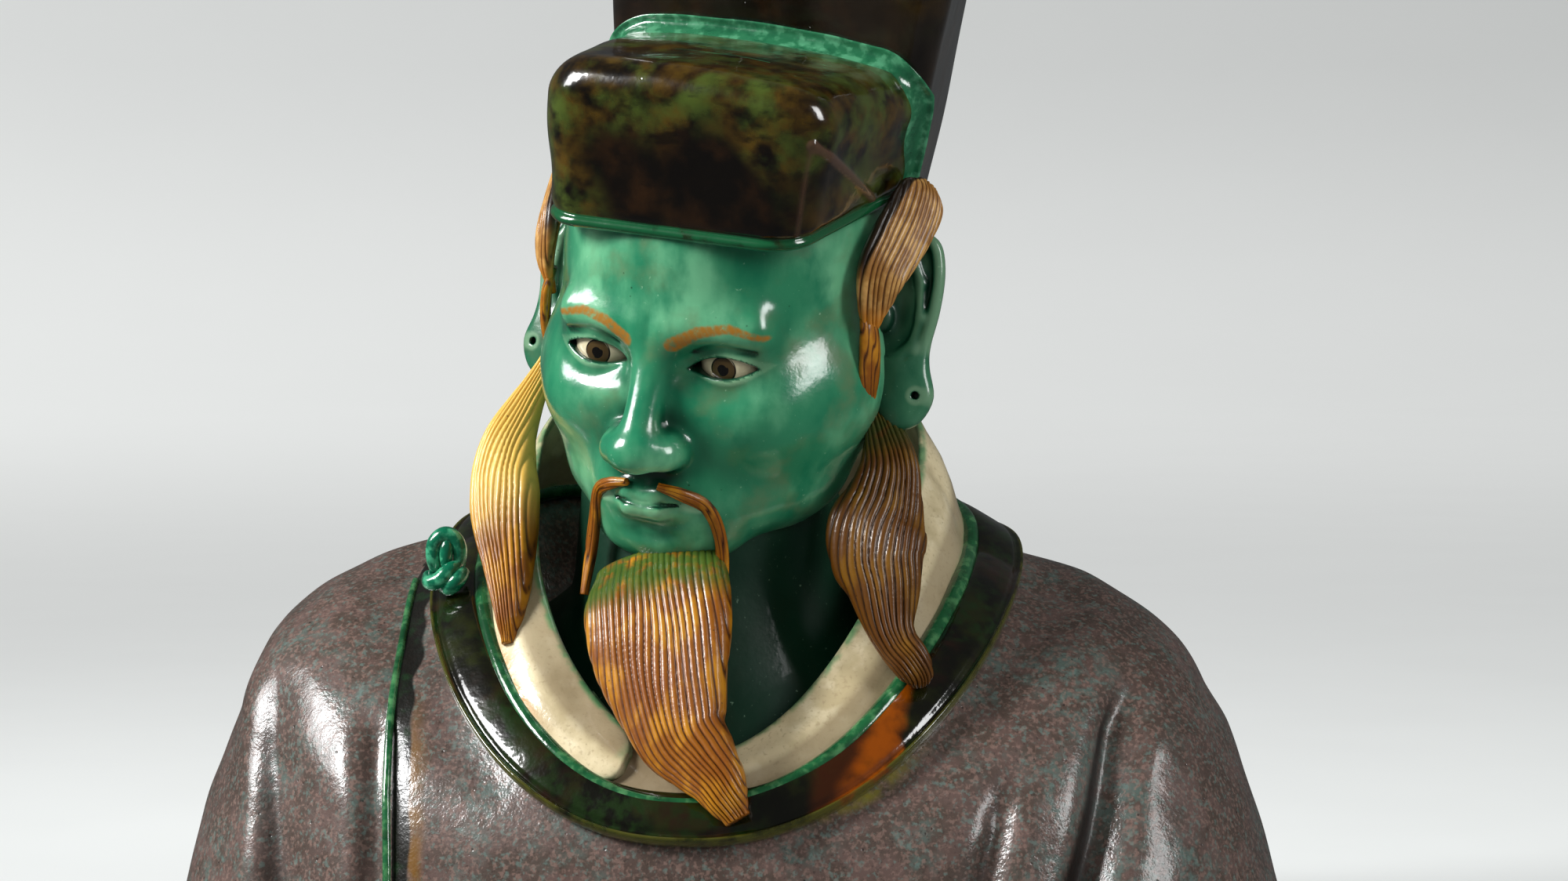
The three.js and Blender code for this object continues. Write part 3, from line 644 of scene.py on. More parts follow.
def eye_glaze():
    g = Glaze("eye_cream_glaze", (200, 190, 158), 0.2, 1.0, 0.03)
    g.layer((150, 146, 112), g.noise(6, 0.46, 0.66, 0.4, 1, 4))
    g.layer((58, 40, 8), g.mark("iris", 0.4, 0.6, 0.97))
    g.layer((16, 11, 6), g.mark("ring", 0.4, 0.8, 0.95))
    g.layer((8, 6, 4), g.mark("pupil", 0.4, 0.6, 1.0))
    return g.done()


PIPING = green_glaze("piping_green_glaze", (26, 84, 48), (12, 54, 28), (72, 124, 78))

# Each look is a slot of the CAD part and its glaze.
ROBE = "robe_glaze", robe_glaze()
FACE = "face_glaze", face_glaze()
CAP = "cap_glaze", cap_glaze()
HAIR = "hair_glaze", hair_glaze()
TUFT_BROWN = "hair_glaze", tuft_glaze()
COLLAR = "collar_glaze", collar_glaze()
COLLAR_PIPING = "collar_glaze", PIPING
FLAP_PIPING = "robe_glaze", PIPING
CREAM = "cream_glaze", cream_glaze()
EYE_CREAM = "cream_glaze", eye_glaze()
SEAM_GREEN = "cap_glaze", green_glaze("seam_green_glaze", (34, 96, 64), (16, 72, 46), (74, 138, 102))
KNOT_GREEN = "robe_glaze", green_glaze("knot_green_glaze", (6, 94, 66), (1, 46, 32), (70, 160, 120))


# Robe and collars

def ring_point(row, squareness, turn):
    half, front, back, z_side, z_front, z_back = np.moveaxis(row, -1, 0)
    c, s = np.cos(turn), np.sin(turn)
    x = half * power(c, 2 / squareness)
    y = -np.where(s > 0, front, back) * power(s, 2 / squareness)
    z = z_side + 0.5 * (z_front - z_back) * s + (0.5 * (z_front + z_back) - z_side) * s * s
    return np.stack([x, y, z], -1)


def robe_base(ring, turn):
    """Point of the smooth robe: ring 0 is the cut, 7 the neckline, turn 0 is +X, 90 degrees the front."""
    ring, turn = np.broadcast_arrays(np.asarray(ring, float), np.asarray(turn, float))
    squareness = ROBE_SQUARENESS[0] + (ROBE_SQUARENESS[1] - ROBE_SQUARENESS[0]) * ring / NECKLINE
    p = ring_point(table_at(ROBE_RINGS, ring), squareness, turn)
    p[..., 2] -= SHOULDER_TILT * p[..., 0] * np.minimum(p[..., 2] / 150, 1)
    return p


def robe_frame(ring, turn):
    """Point of the robe with unit vectors along the ring, across the rings and out of the surface."""
    at = robe_base(ring, turn)
    along = unit(robe_base(ring, turn + 0.01) - robe_base(ring, turn - 0.01))
    across = robe_base(ring + 0.05, turn) - robe_base(ring - 0.05, turn)
    across = unit(across - along * dot(across, along))
    out = np.cross(across, along)
    outside = np.stack([at[..., 0], at[..., 1], np.full(at.shape[:-1], 60.0)], -1)
    return at, along, across, unit(out * np.sign(dot(out, outside)))


def on_robe_front(x, z):
    """Ring and turn of the robe's surface at points seen from the front."""
    x, z = np.broadcast_arrays(np.asarray(x, float), np.asarray(z, float))
    ring, turn = np.clip(z / 24, 0, 6), math.pi / 2 - x / 170
    for _ in range(60):
        p = robe_base(ring, turn)
        by_ring = (robe_base(ring + 0.01, turn) - p) / 0.01
        by_turn = (robe_base(ring, turn + 0.001) - p) / 0.001
        dx, dz = x - p[..., 0], z - p[..., 2]
        det = by_ring[..., 0] * by_turn[..., 2] - by_ring[..., 2] * by_turn[..., 0]
        step_ring = (dx * by_turn[..., 2] - dz * by_turn[..., 0]) / det
        step_turn = (dz * by_ring[..., 0] - dx * by_ring[..., 2]) / det
        ring = np.clip(ring + np.clip(step_ring, -0.2, 0.2), 0, NECKLINE)
        turn = turn + np.clip(step_turn, -0.06, 0.06)
    return ring, turn


def folds(p):
    """How deep the robe is pressed in at its points, and a mask of painted shade for its valleys."""
    x, y, z = np.moveaxis(p, -1, 0)
    sink = np.zeros(x.shape)
    valley_shade = np.zeros(x.shape)
    for path, depth, left, right, bank in FOLDS:
        away, share = path_distance(x, z, path)
        start = smoothstep(-0.02, 0.22, share) * (0.75 + 0.35 * share)
        hollow = bell(away / np.where(away < 0, left, right))
        steep = min(left, right)
        beyond = away * (1 if right < left else -1) - 2.1 * steep
        sink += start * (depth * hollow - bank * bell(beyond / (1.8 * steep)))
        # Painted shade: this mask darkens each valley and the wall to its left, where shade falls.
        shadow = bell((away + 0.5 * left) / (1.5 + 0.9 * left * share)) * depth / 11
        valley_shade = np.maximum(valley_shade, start * shadow)
    front = smoothstep(34, 24, y)
    plain = 3 * np.maximum(0, 1 - z / 150) * np.cos(x / 17) * np.clip((y - 30) / 40, 0, 1)
    return sink * front + plain, valley_shade * front


def robe():
    rows, columns = ROBE_COUNTS
    q = np.linspace(-0.5, 0.5, columns, endpoint=False)
    turn = math.pi / 2 + 2 * math.pi * q - CROWDING * np.sin(2 * math.pi * q)
    ring = np.linspace(0, NECKLINE, rows)[:, None]
    p, _, _, out = robe_frame(ring, turn[None, :])
    x, y, z = np.moveaxis(p, -1, 0)
    sink, valley_shade = folds(p)
    edge, _ = path_distance(x, z, FLAP_EDGE)
    front = smoothstep(20, 0, y)
    side = unit(np.stack([x / 2.2, y, np.zeros(x.shape)], -1))
    low = smoothstep(0, 12, z)
    flap = FLAP_STEP * smoothstep(-0.8, 0.8, edge) * smoothstep(26, 8, edge) * front * low
    hand = 0.5 * (waves(p, 34, 1) - 1) + 0.22 * (waves(p, 13, 2) - 1)
    bump = SHOULDER_BUMP
    shoulder = bump["rise"] * bell((x - bump["x"]) / bump["wide"]) * bell((z - bump["z"]) / bump["tall"])
    p = p - side * (sink * (0.4 + 0.6 * low))[..., None] + out * (flap + hand * low + shoulder)[..., None]
    p[..., 2] = np.maximum(p[..., 2], 0)
    ragged = waves(p, 9, 3)
    strip = smoothstep(0, 1, edge) * smoothstep(9.5 + ragged, 6.5 + ragged, edge)
    ochre = smoothstep(6, 9, edge) * smoothstep(17 + 2 * ragged, 9, edge) * smoothstep(118, 70, z)
    run = bell((x - 62 - 3 * ragged) / 17) * smoothstep(5.7, 6.15, ring)
    marks = {"valley_shade": valley_shade, "strip": strip * front, "ochre": ochre * front, "run": run * front}
    inner = [p[-1] * [1 - 0.05 * k, 1 - 0.05 * k, 1] - [0, 0, 12.0 * k] for k in (1, 2, 3)]
    marks = {key: np.vstack([value, np.repeat(value[-1:], 3, 0)]) for key, value in marks.items()}
    rings_piece("robe", np.concatenate([p, inner]), ROBE, marks)


def ring_band(name, ring, section, look, marks, around=460):
    """A band laid on the robe along a ring, from a section of points [across, up] in mm.

    Its marks are a function of its points.
    """
    turn = circle(around)[:, None]
    at, _, across, out = robe_frame(np.full(turn.shape, ring), turn)
    hand = 0.35 * waves(at, 22, 5)[..., None]
    p = at + across * section[:, :1] + out * (section[:, 1:] + hand)
    rings_piece(name, p, look, marks(p), closed=True)


def outer_collar():
    """A flat convex band with a raised rim line on its outer side."""
    a = circle(56)
    u, v = np.cos(a), np.sin(a)
    across = COLLAR_HALF * power(u, 0.75)
    up = 1.5 + COLLAR_THICK * power(v, 0.55)
    up = up + np.where(v > 0, 1.3 * bell((across + 8.3) / 0.9) - 0.9 * bell((across + 6.2) / 0.9), 0)
    section = np.stack([across, up], -1)
    share = (across / COLLAR_HALF)[None, :]

    def marks(p):
        x, front = p[..., 0], p[..., 1] < 0
        ragged = x + 1.5 * waves(p, 6, 21)
        amber = smoothstep(50 + 8 * share, 66 + 6 * share, ragged) * smoothstep(80 + 6 * share, 72, ragged)
        umber = smoothstep(40, 50, x) * smoothstep(66, 58, x)
        return {"rim": smoothstep(-0.72, -0.86, share), "amber": amber * front, "umber": umber * front}

    ring_band("outer_collar", COLLAR_RING, section, COLLAR, marks)


def inner_piping():
    a = circle(20)
    section = np.stack([3.4 * np.cos(a), 1 + 4.4 * np.sin(a)], -1)
    cavity = smoothstep(2.4, -1, section[:, 1])
    ring_band("collar_piping", PIPING_RING, section, COLLAR_PIPING, lambda p: {"cavity": cavity})


def inner_collar():
    """One band round the neck, whose rounded end laps over its other end in front."""
    start, end = math.radians(INNER_COLLAR_START), math.radians(INNER_COLLAR_START - INNER_COLLAR_TURN)
    rows = 460
    share = np.linspace(0, 1, rows)[:, None]
    turn = start + (end - start) * share
    foot = robe_base(np.full(turn.shape, float(NECKLINE)), turn)
    top = ring_point(np.asarray(INNER_COLLAR_TOP, float), 2, turn)
    a = circle(46)
    u = power(np.cos(a), 0.62)
    v = power(np.sin(a), 0.8)
    tip = 0.5 * (1 - np.sqrt(np.clip(1 - np.clip((share - 0.975) / 0.025, 0, 1) ** 2, 0.02, 1)))
    height = 0.5 + (0.5 - 0.8 * tip) * u[None, :]
    out = unit(np.stack([foot[..., 0] / 1.2, foot[..., 1], np.full(turn.shape, 55.0)], -1))
    lap = 3.6 * smoothstep(0.84, 0.93, share)
    crease = 1.6 * np.maximum(0, 1 - np.abs(height - 0.52) / 0.3)
    body = np.where(v > 0, 2.2 + crease, 2.2)
    hand = 0.35 * waves(foot, 18, 6)
    p = foot + (top - foot) * height[..., None] + out * (lap + hand + body * v[None, :] - 1.2)[..., None]
    edge = smoothstep(0.24, 0.02, height) + 0.8 * smoothstep(0.84, 0.98, height)
    edge = edge + smoothstep(0.985, 1, share) * 0.6
    left = (p[..., 0] < 0) & (p[..., 1] < 0)
    amber = bell((p[..., 2] - 112) / 13) * left * smoothstep(0.42, 0.1, height)
    under = (share < 0.5) * smoothstep(-40, -20, p[..., 0]) * smoothstep(22, 8, p[..., 0])
    shade = np.maximum(np.where(left, smoothstep(0.4, 0.6, height), smoothstep(0.6, 0.4, height)) * 0.7,
                       np.where(p[..., 1] < 0, under, 0))
    rings_piece("inner_collar", p, CREAM, {"edge": edge, "amber": amber, "shade": shade})


def tube(name, points, radius, look, count=90, sides=16):
    """A round cord along points, with a radius that may change along it."""
    position = np.linspace(0, len(points) - 1, count)
    at = table_at(points, position, True)
    along = direction_at(points, position)
    normal = np.zeros(at.shape)
    normal[0] = unit(np.cross(along[0], [0.3, 0.2, 1]))
    for i in range(1, count):
        normal[i] = unit(normal[i - 1] - along[i] * dot(normal[i - 1], along[i]))
    second = np.cross(along, normal)
    a = circle(sides)[None, :, None]
    radius = np.broadcast_to(np.asarray(radius, float), (count,))[:, None, None]
    rings = at[:, None] + radius * (np.cos(a) * normal[:, None] + np.sin(a) * second[:, None])
    rings_piece(name, rings, look)


def flap_piping():
    x, z = table_at(FLAP_EDGE, np.linspace(0, 5, 12)).T
    ring, turn = on_robe_front(x, z)
    at, _, _, out = robe_frame(ring, turn)
    at = at + out * 0.7
    at[:, 2] = np.maximum(at[:, 2], 1.6)
    tube("flap_piping", at, PIPING_RADIUS, FLAP_PIPING, count=240)


def knot():
    """Frog knot of thick rolls: a folded loop standing over two that cross."""
    parts = {
        "knot_loop": ([[-5, 1, -1], [-5.8, 0, 5], [-4.8, -0.5, 11], [-1, 0, 14.5], [3.2, 0.5, 13],
                       [5.4, 1, 7.6], [4.6, 1, -1]], 3.7),
        "knot_fold": ([[0.6, 0.6, 13.6], [0.2, -1.6, 8.6], [-0.4, -0.6, 1]], 2.9),
        "knot_roll_left": ([[-8, 0, -2], [-6.4, -3.4, -5], [-2, -5, -4], [2, -3.6, 0], [5.4, 0, 2]], 3.8),
        "knot_roll_right": ([[-2, 0, -7.6], [1.8, -3.8, -7], [5.6, -4, -3.6], [8, -0.6, 0]], 3.8),
    }
    for name, (points, radius) in parts.items():
        ends = np.sin(np.linspace(0.25, math.pi - 0.25, 60)) ** 0.35
        tube(name, KNOT_AT + KNOT_SCALE * np.array(points), KNOT_SCALE * radius * ends, KNOT_GREEN, 60, 24)


# Head

def smooth_min(a, b, k):
    """Smaller of two distances, blended over k mm with an even curvature."""
    k = 1.5 * k
    return np.minimum(a, b) - np.maximum(k - np.abs(a - b), 0) ** 3 / (6 * k * k)


def smooth_cut(a, b, k):
    return -smooth_min(-a, b, k)


def ellipsoid(p, centre, radii):
    q = (p - np.array(centre)) / np.array(radii)
    k = np.sqrt((q * q).sum(-1))
    return k * (k - 1) / np.maximum(np.sqrt(((q / np.array(radii)) ** 2).sum(-1)), 1e-6)


def capsule(p, a, b, ra, rb):
    away, share = from_segment(p, a, b)
    return np.sqrt((away ** 2).sum(-1)) - (ra + (rb - ra) * share)


def bent_rod(p, points, radii, blend):
    """Distance to a round rod through three points, blended over so many mm at its bend."""
    (a, b, c), (ra, rb, rc) = points, radii
    return smooth_min(capsule(p, a, b, ra, rb), capsule(p, b, c, rb, rc), blend)


HEAD_ROUNDS = [  # centre, half sizes, and how many mm each one blends over
    ([0, -11, -28], [HALF_WIDTH + 3, 56, 47], 12),  # lower skull
    ([0, -18, MOUTH - 3], [HALF_WIDTH - 12, 45, 25], 16),  # jaw
    ([0, -50, CHIN + 12], [26, 16, 13], 12),  # chin
    ([31, -43, -30], [17, 17, 15], 12),  # cheek
    ([0, -55, MOUTH], [24, 15, 17], 10),  # round of the mouth
]


def eye_opening(p):
    """Distance to the almond between the lids, seen from in front, negative inside it."""
    x = p[..., 0] - EYE[0]
    z = p[..., 2] - EYE[2] - 0.07 * x
    bow = np.clip(1 - (x / 12.5) ** 2, -1, 1)
    return np.maximum(z - 4.6 * bow, -3.4 * bow - z) * 0.9


def head_distance(p):
    """The head without ears, hair or cap: calm and even, on the usual thirds of a drawn face."""
    p = np.stack([np.abs(p[..., 0]), p[..., 1], p[..., 2]], -1)
    d = ellipsoid(p, [0, 6, 15], [HALF_WIDTH - 2, 69, 64])
    for centre, radii, blend in HEAD_ROUNDS:
        d = smooth_min(d, ellipsoid(p, centre, radii), blend)
    d = smooth_min(d, capsule(p, [5, -59.5, 0.5], [34, -53, 2.5], 5.2, 4.6), 15)
    d = smooth_cut(d, ellipsoid(p, [EYE[0], -66, EYE[2]], [15, 9, 8]), 8)
    d = smooth_min(d, capsule(p, [0, -62, -7], [0, -77, NOSE_BASE + 8], 5.2, 7), 7)
    d = smooth_min(d, ellipsoid(p, [0, -79.5, NOSE_BASE + 5], [9, 8, 7]), 6)
    d = smooth_min(d, ellipsoid(p, [9.6, -70.5, NOSE_BASE + 4.4], [6.4, 10, 6.4]), 7)
    d = smooth_cut(d, ellipsoid(p, [5.4, -76.5, NOSE_BASE - 2.6], [3, 4.4, 3.4]), 2)
    ball = np.sqrt(((p - EYE) ** 2).sum(-1))
    d = smooth_min(d, ball - EYE_RADIUS - 2.2, 3)
    crease = bent_rod(p, [[14.5, -60, -4.8], [24.5, -62.5, -2.2], [36, -56.2, -4.4]], (0.3, 0.6, 0.3), 1)
    d = smooth_cut(d, crease, 1.8)
    opening = np.maximum(np.maximum(eye_opening(p), EYE_RADIUS - 2 - ball), p[..., 1] + 40)
    d = smooth_cut(d, opening, 0.9)
    d = smooth_cut(d, capsule(p, [0, -75.5, NOSE_BASE - 4], [0, -73, MOUTH + 5.5], 0.6, 1.4), 2.5)
    upper = bent_rod(p, [[17.5, -62, MOUTH - 0.8], [6.5, -69.5, MOUTH + 2.4], [0, -70.4, MOUTH + 1.7]],
                     (1.5, 3.1, 3), 3)
    lower = bent_rod(p, [[15.5, -63, MOUTH - 1.8], [5, -70.2, MOUTH - 3.8], [0, -71, MOUTH - 4.1]],
                     (1.7, 3.9, 4), 3)
    d = smooth_min(d, smooth_min(upper, lower, 1.5), 3)
    parting = bent_rod(p, [[0, -74.6, MOUTH - 1], [7, -73.2, MOUTH - 0.6], [18, -63.4, MOUTH - 1.6]],
                       (0.45, 0.45, 0.3), 1)
    d = smooth_cut(d, parting, 1)
    d = smooth_cut(d, ellipsoid(p, [0, -81, MOUTH - 11.5], [12, 14, 4]), 6)
    return np.maximum(d, p[..., 2] - HEAD_CUT)


def relief_marks(distance, points):
    """How hollow and how sharp a modelled surface is, from its own distance function."""
    normal = unit(gradient(distance, points))
    near, far, wide, sharp = (1 - distance(points + normal * reach) / reach for reach in (2.2, 7, 16, -3.5))
    cavity = np.clip(0.85 * near + 0.75 * far, 0, 1)
    ridge = np.clip(sharp * 1.6, 0, 1) * (1 - cavity)
    return {"cavity": cavity, "ridge": ridge, "pool": np.clip(wide, 0, 1)}


def head():
    grids = [
        steps((-72, -42, BACK_PITCH), (-42, 42, FACE_PITCH), (42, 72, BACK_PITCH)),
        steps((-92, -38, FACE_PITCH), (-38, 80, BACK_PITCH)),
        steps((-94, -76, CHIN_PITCH), (-76, 18, FACE_PITCH), (18, 48, BACK_PITCH)),
    ]
    points, faces = surface_nets(head_distance, grids)
    marks = relief_marks(head_distance, points)
    x, y, z = np.abs(points[:, 0]), points[:, 1], points[:, 2]
    brow, share = path_distance(x, z, [[9, -1.5], [18, 3.5], [28, 5.2], [40, 1.5]])
    strokes = 0.85 + 0.15 * np.sin(2.6 * x + 1.4 * z)
    marks["amber"] = smoothstep(3.6, 1.8, np.abs(brow) + 1.6 * share) * (y < -30) * strokes
    # Painted shade under the chin and jaw.
    marks["deep"] = smoothstep(-82, -92, z)
    hand = 0.14 * waves(points, 26, 7)[:, None] * unit(gradient(head_distance, points))
    piece("head", from_head(points + hand), [faces], FACE, marks)


def neck():
    share = np.linspace(0, len(NECK_RINGS) - 1, 90)
    x, y, half, depth, z_front, z_back = (table_at(NECK_RINGS, share).T)[:, :, None]
    a = circle(150)[None, :]
    z = 0.5 * (z_front + z_back) - 0.5 * (z_front - z_back) * np.sin(a)
    p = np.stack([x + half * np.cos(a), y + depth * np.sin(a), z], -1)
    p = p + (0.6 * waves(p, 26, 8))[..., None] * unit(p * [1, 1, 0])
    # Painted shade: darker down the neck towards the collar, and a little all over.
    deep = smoothstep(205, 165, p[..., 2]) * 0.85 + 0.15
    rings_piece("neck", p, FACE, {"deep": deep})


def eyes():
    a = circle(72)[None, :]
    b = np.linspace(0.004, math.pi - 0.004, 60)[:, None]
    ball = np.stack([np.sin(b) * np.cos(a), -np.cos(b) + 0 * a, np.sin(b) * np.sin(a)], -1)
    off = np.degrees(np.arccos(np.clip(ball @ unit(np.array(GAZE)), -1, 1)))
    marks = {
        "iris": smoothstep(IRIS + 1.5, IRIS, off),
        "ring": bell((off - IRIS - 0.5) / 1.8),
        "pupil": smoothstep(PUPIL + 1, PUPIL, off),
    }
    for side, name in ((1, "eye_left"), (-1, "eye_right")):
        ball_at = EYE * [side, 1, 1] + ball * EYE_RADIUS
        rings_piece(name, from_head(ball_at), EYE_CREAM, marks)


def ear_outline():
    n = len(EAR_OUTLINE)
    rows = np.array(EAR_OUTLINE + EAR_OUTLINE[:3], float)
    return table_at(rows, 1 + np.linspace(0, n, 64, endpoint=False))


def polygon_distance(p, outline):
    best = np.full(p.shape[:-1], np.inf)
    inside = np.zeros(p.shape[:-1], bool)
    for a, b in zip(outline, np.roll(outline, -1, 0)):
        d = b - a
        best = np.minimum(best, (from_segment(p, a, b)[0] ** 2).sum(-1))
        spans = (a[1] > p[..., 1]) != (b[1] > p[..., 1])
        rise = np.where(d[1] == 0, 1e-9, d[1])
        inside ^= spans & (p[..., 0] < a[0] + d[0] * (p[..., 1] - a[1]) / rise)
    return np.sqrt(best) * np.where(inside, -1, 1)


def ear_distance(p, outline=ear_outline()):
    """An ear with rolled rim, bowl and long pierced lobe, in its own frame: outwards, up, and forward."""
    plan = polygon_distance(p[..., :2], outline)
    w = p[..., 2] - EAR_MIDDLE
    thick = EAR_HALF - 0.2
    q = np.stack([plan + 2.4, np.abs(w) - thick + 2.4], -1)
    d = np.sqrt((np.maximum(q, 0) ** 2).sum(-1)) + np.minimum(q.max(-1), 0) - 2.4
    upper = smoothstep(-44, -34, p[..., 1])
    bowl = np.maximum(plan + 4.4, 0.6 - w) + (1 - upper) * 8
    d = smooth_cut(d, bowl, 2.2)
    ridge = [[4, -39], [10.5, -32], [12, -21], [10.5, -9], [6.5, -1]]
    for (ax, ay), (bx, by) in zip(ridge[:-1], ridge[1:]):
        d = smooth_min(d, capsule(p, [ax, ay, 2.2], [bx, by, 2.2], 1.7, 1.7), 2)
    d = smooth_cut(d, ellipsoid(p, [5, -21, 5.5], [4.2, 9.5, 4.6]), 1.8)
    d = smooth_min(d, ellipsoid(p, [-1, -23, 3.2], [3.2, 5, 2.6]), 2)
    d = smooth_min(d, ellipsoid(p, [9.6, -47.5, 1.5], [8.6, 13, 3.7]), 6)
    hole = np.maximum(np.hypot(p[..., 0] - 14.6, p[..., 1] + 49) - 1.3, -0.6 - w)
    return smooth_cut(d, hole, 0.7)


def ears():
    grids = [steps((low, high, EAR_PITCH)) for low, high in ((-9, 23), (-64, 12), (-5, 9))]
    points, faces = surface_nets(ear_distance, grids, near=6)
    marks = relief_marks(ear_distance, points)
    # Painted shade: the ears are darkened all over, most next to the head.
    marks["deep"] = 0.5 + smoothstep(14, 0, points[:, 0]) * 0.3
    upright = points[:, [0, 2, 1]] * [1, -1, 1]
    placed = upright @ (rotation(0, -EAR_TILT) @ rotation(2, EAR_FLARE)).T + np.array(EAR_AT)
    for side, name in ((1, "ear_left"), (-1, "ear_right")):
        wound = faces if side == 1 else faces[:, ::-1]
        piece(name, from_head(placed * [side, 1, 1]), [wound], FACE, marks)


# Cap

def tier_plan(tier, inset_at, arc=14, straight=30):
    """Outline of a cap tier: a trapezoid with round corners, drawn in by an inset at each depth y."""
    front, back = tier["front"], tier["back"]
    corners = [(1, front, tier["corners"][0], -90), (1, back, tier["corners"][1], 0),
               (-1, back, tier["corners"][1], 90), (-1, front, tier["corners"][0], 180)]
    arcs = []
    for side, end, corner, start in corners:
        inset = inset_at(end)
        radius = max(corner - inset, 0.5)
        middle = end + (inset + radius) * (1 if end == front else -1)
        a = np.radians(start + 90 * np.linspace(0, 1, arc + 1))
        y = middle + radius * np.sin(a)
        half = np.interp(y, [front, back], tier["halves"]) - inset_at(y)
        arcs.append(np.stack([side * (half - radius) + radius * np.cos(a), y], -1))
    plan = []
    for k, points in enumerate(arcs):
        following = arcs[(k + 1) % 4][0]
        plan += [points, np.linspace(points[-1], following, straight + 1)[1:-1]]
    return np.concatenate(plan)


def capped(plan, z):
    """Places an outline at heights z in the head's frame, leaning and widening upwards."""
    above = z - CAP_BRIM
    x = plan[:, 0] * (1 + CAP_FLARE * above) + CAP_SHIFT + CAP_LEAN * above
    return np.stack([x, plan[:, 1], z + 0 * x], -1)


def along_front(y, ends):
    """Value at depth y of what runs straight between the ends of the front tier."""
    return np.interp(y, [FRONT_TIER["front"], FRONT_TIER["back"]], ends)


def front_top(x, y):
    rise = along_front(y, FRONT_TOP)
    return rise - FRONT_CROWN * (x / FRONT_TIER["halves"][0]) ** 2 - FRONT_SLOPE * x


def front_edge(y):
    return along_front(y, FRONT_EDGE)


def line_distance(p, path):
    spans = zip(path[:-1], path[1:])
    return np.min([np.linalg.norm(from_segment(p, a, b)[0], axis=-1) for a, b in spans], 0)


def front_tier():
    rings, edge, brim = [], [], []

    def add(inset_at, level_at, at_edge, at_brim):
        plan = tier_plan(FRONT_TIER, inset_at, arc=24, straight=60)
        rings.append(capped(plan, level_at(plan[:, 0], plan[:, 1])))
        edge.append([at_edge])
        brim.append([at_brim])

    foot = CAP_BRIM + 2.3
    add(lambda y: 6, lambda x, y: CAP_BRIM - 2, 0, 1)
    for t in np.linspace(0, 1, 14):
        bulge = 1.7 * math.sin(math.pi * t) ** 0.8
        add(lambda y: 1.6 - bulge, lambda x, y: CAP_BRIM - 2 + 4.2 * t, 0, 1)
    for t in np.linspace(0, 1, 46)[1:]:
        inset = 1.2 * bell(t / 0.05)
        add(lambda y: inset, lambda x, y: foot + (front_top(x, y) - front_edge(y) - foot) * t,
            smoothstep(0.55, 1, t), smoothstep(0.05, 0, t) * 0.4)
    for t in np.linspace(0, 1, 18)[1:]:
        a = t * math.pi / 2
        add(lambda y: front_edge(y) * (1 - math.cos(a)),
            lambda x, y: front_top(x, y) - front_edge(y) * (1 - math.sin(a)), 1, 0)
    for t in np.linspace(0, 1, 20)[1:]:
        add(lambda y: front_edge(y) + t * (FRONT_INNER - front_edge(y)), front_top, 1 - 0.25 * t, 0)
    rings = np.array(rings)
    line = sum(gain * bell(line_distance(rings, path) / 1.7) for gain, path in zip((1.4, 0.6), CAP_CREASES))
    hand = 0.45 * waves(rings, 24, 9) + 0.2 * waves(rings, 10, 10)
    hand = hand * smoothstep(CAP_BRIM, CAP_BRIM + 6, rings[..., 2]) + line
    out = unit(rings - [CAP_SHIFT, -20, 60])
    x = rings[..., 0] - CAP_SHIFT
    olive = 0.75 * np.array(edge) + 0.7 * bell((x + 42) / 26) + 0.55 * bell((x - 50) / 14)
    olive = olive + 0.3 * waves(rings, 22, 14)
    top = smoothstep(-34, -6, rings[..., 1]) * smoothstep(80, 88, rings[..., 2])
    marks = {"brim": np.array(brim), "line": line, "olive": olive, "top": top}
    rings_piece("cap_front", from_head(rings + out * hand[..., None]), CAP, marks)


def rear_tier():
    rings = []
    levels = [(REAR_NAPE, 3.0)] + [(REAR_NAPE + 1.2 * t, 1.2 * (1 - t) ** 2) for t in (0.3, 0.6, 1)]
    levels += [(z, 0.0) for z in np.linspace(REAR_NAPE + 1.4, REAR_TOP - REAR_EDGE, 90)]
    for a in np.linspace(0, 1, 12)[1:] * math.pi / 2:
        z = REAR_TOP - REAR_CROWN - REAR_EDGE * (1 - math.sin(a))
        levels.append((z, REAR_EDGE * (1 - math.cos(a))))
    for t in np.linspace(0, 1, 16)[1:]:
        rise = REAR_CROWN * math.sin(t * math.pi / 2)
        levels.append((REAR_TOP - REAR_CROWN + rise, REAR_EDGE + t * (REAR_INNER - REAR_EDGE)))
    for z, inset in levels:
        rings.append(capped(tier_plan(REAR_TIER, lambda y: inset, arc=10, straight=34), z))
    rings = np.array(rings)
    hand = unit(rings * [1, 1, 0] - [CAP_SHIFT, 45, 0]) * (0.5 * (waves(rings, 30, 11) - 1))[..., None]
    # The tall mark spreads the painted greyish reflection over the whole rear tier.
    rings_piece("cap_rear", from_head(rings + hand), CAP,
                {"tall": 1, "olive": 0.45 * waves(rings, 26, 15)})


def rear_front(x, z):
    """Depth of the rear tier's front face, with its round corners."""
    corner = REAR_TIER["corners"][0]
    middle = CAP_SHIFT + CAP_LEAN * (z - CAP_BRIM)
    half = REAR_TIER["halves"][0] * (1 + CAP_FLARE * (z - CAP_BRIM))
    past = np.clip((np.abs(x - middle) - (half - corner)) / corner, 0, 1)
    return REAR_TIER["front"] + corner * (1 - np.sqrt(1 - past ** 2))


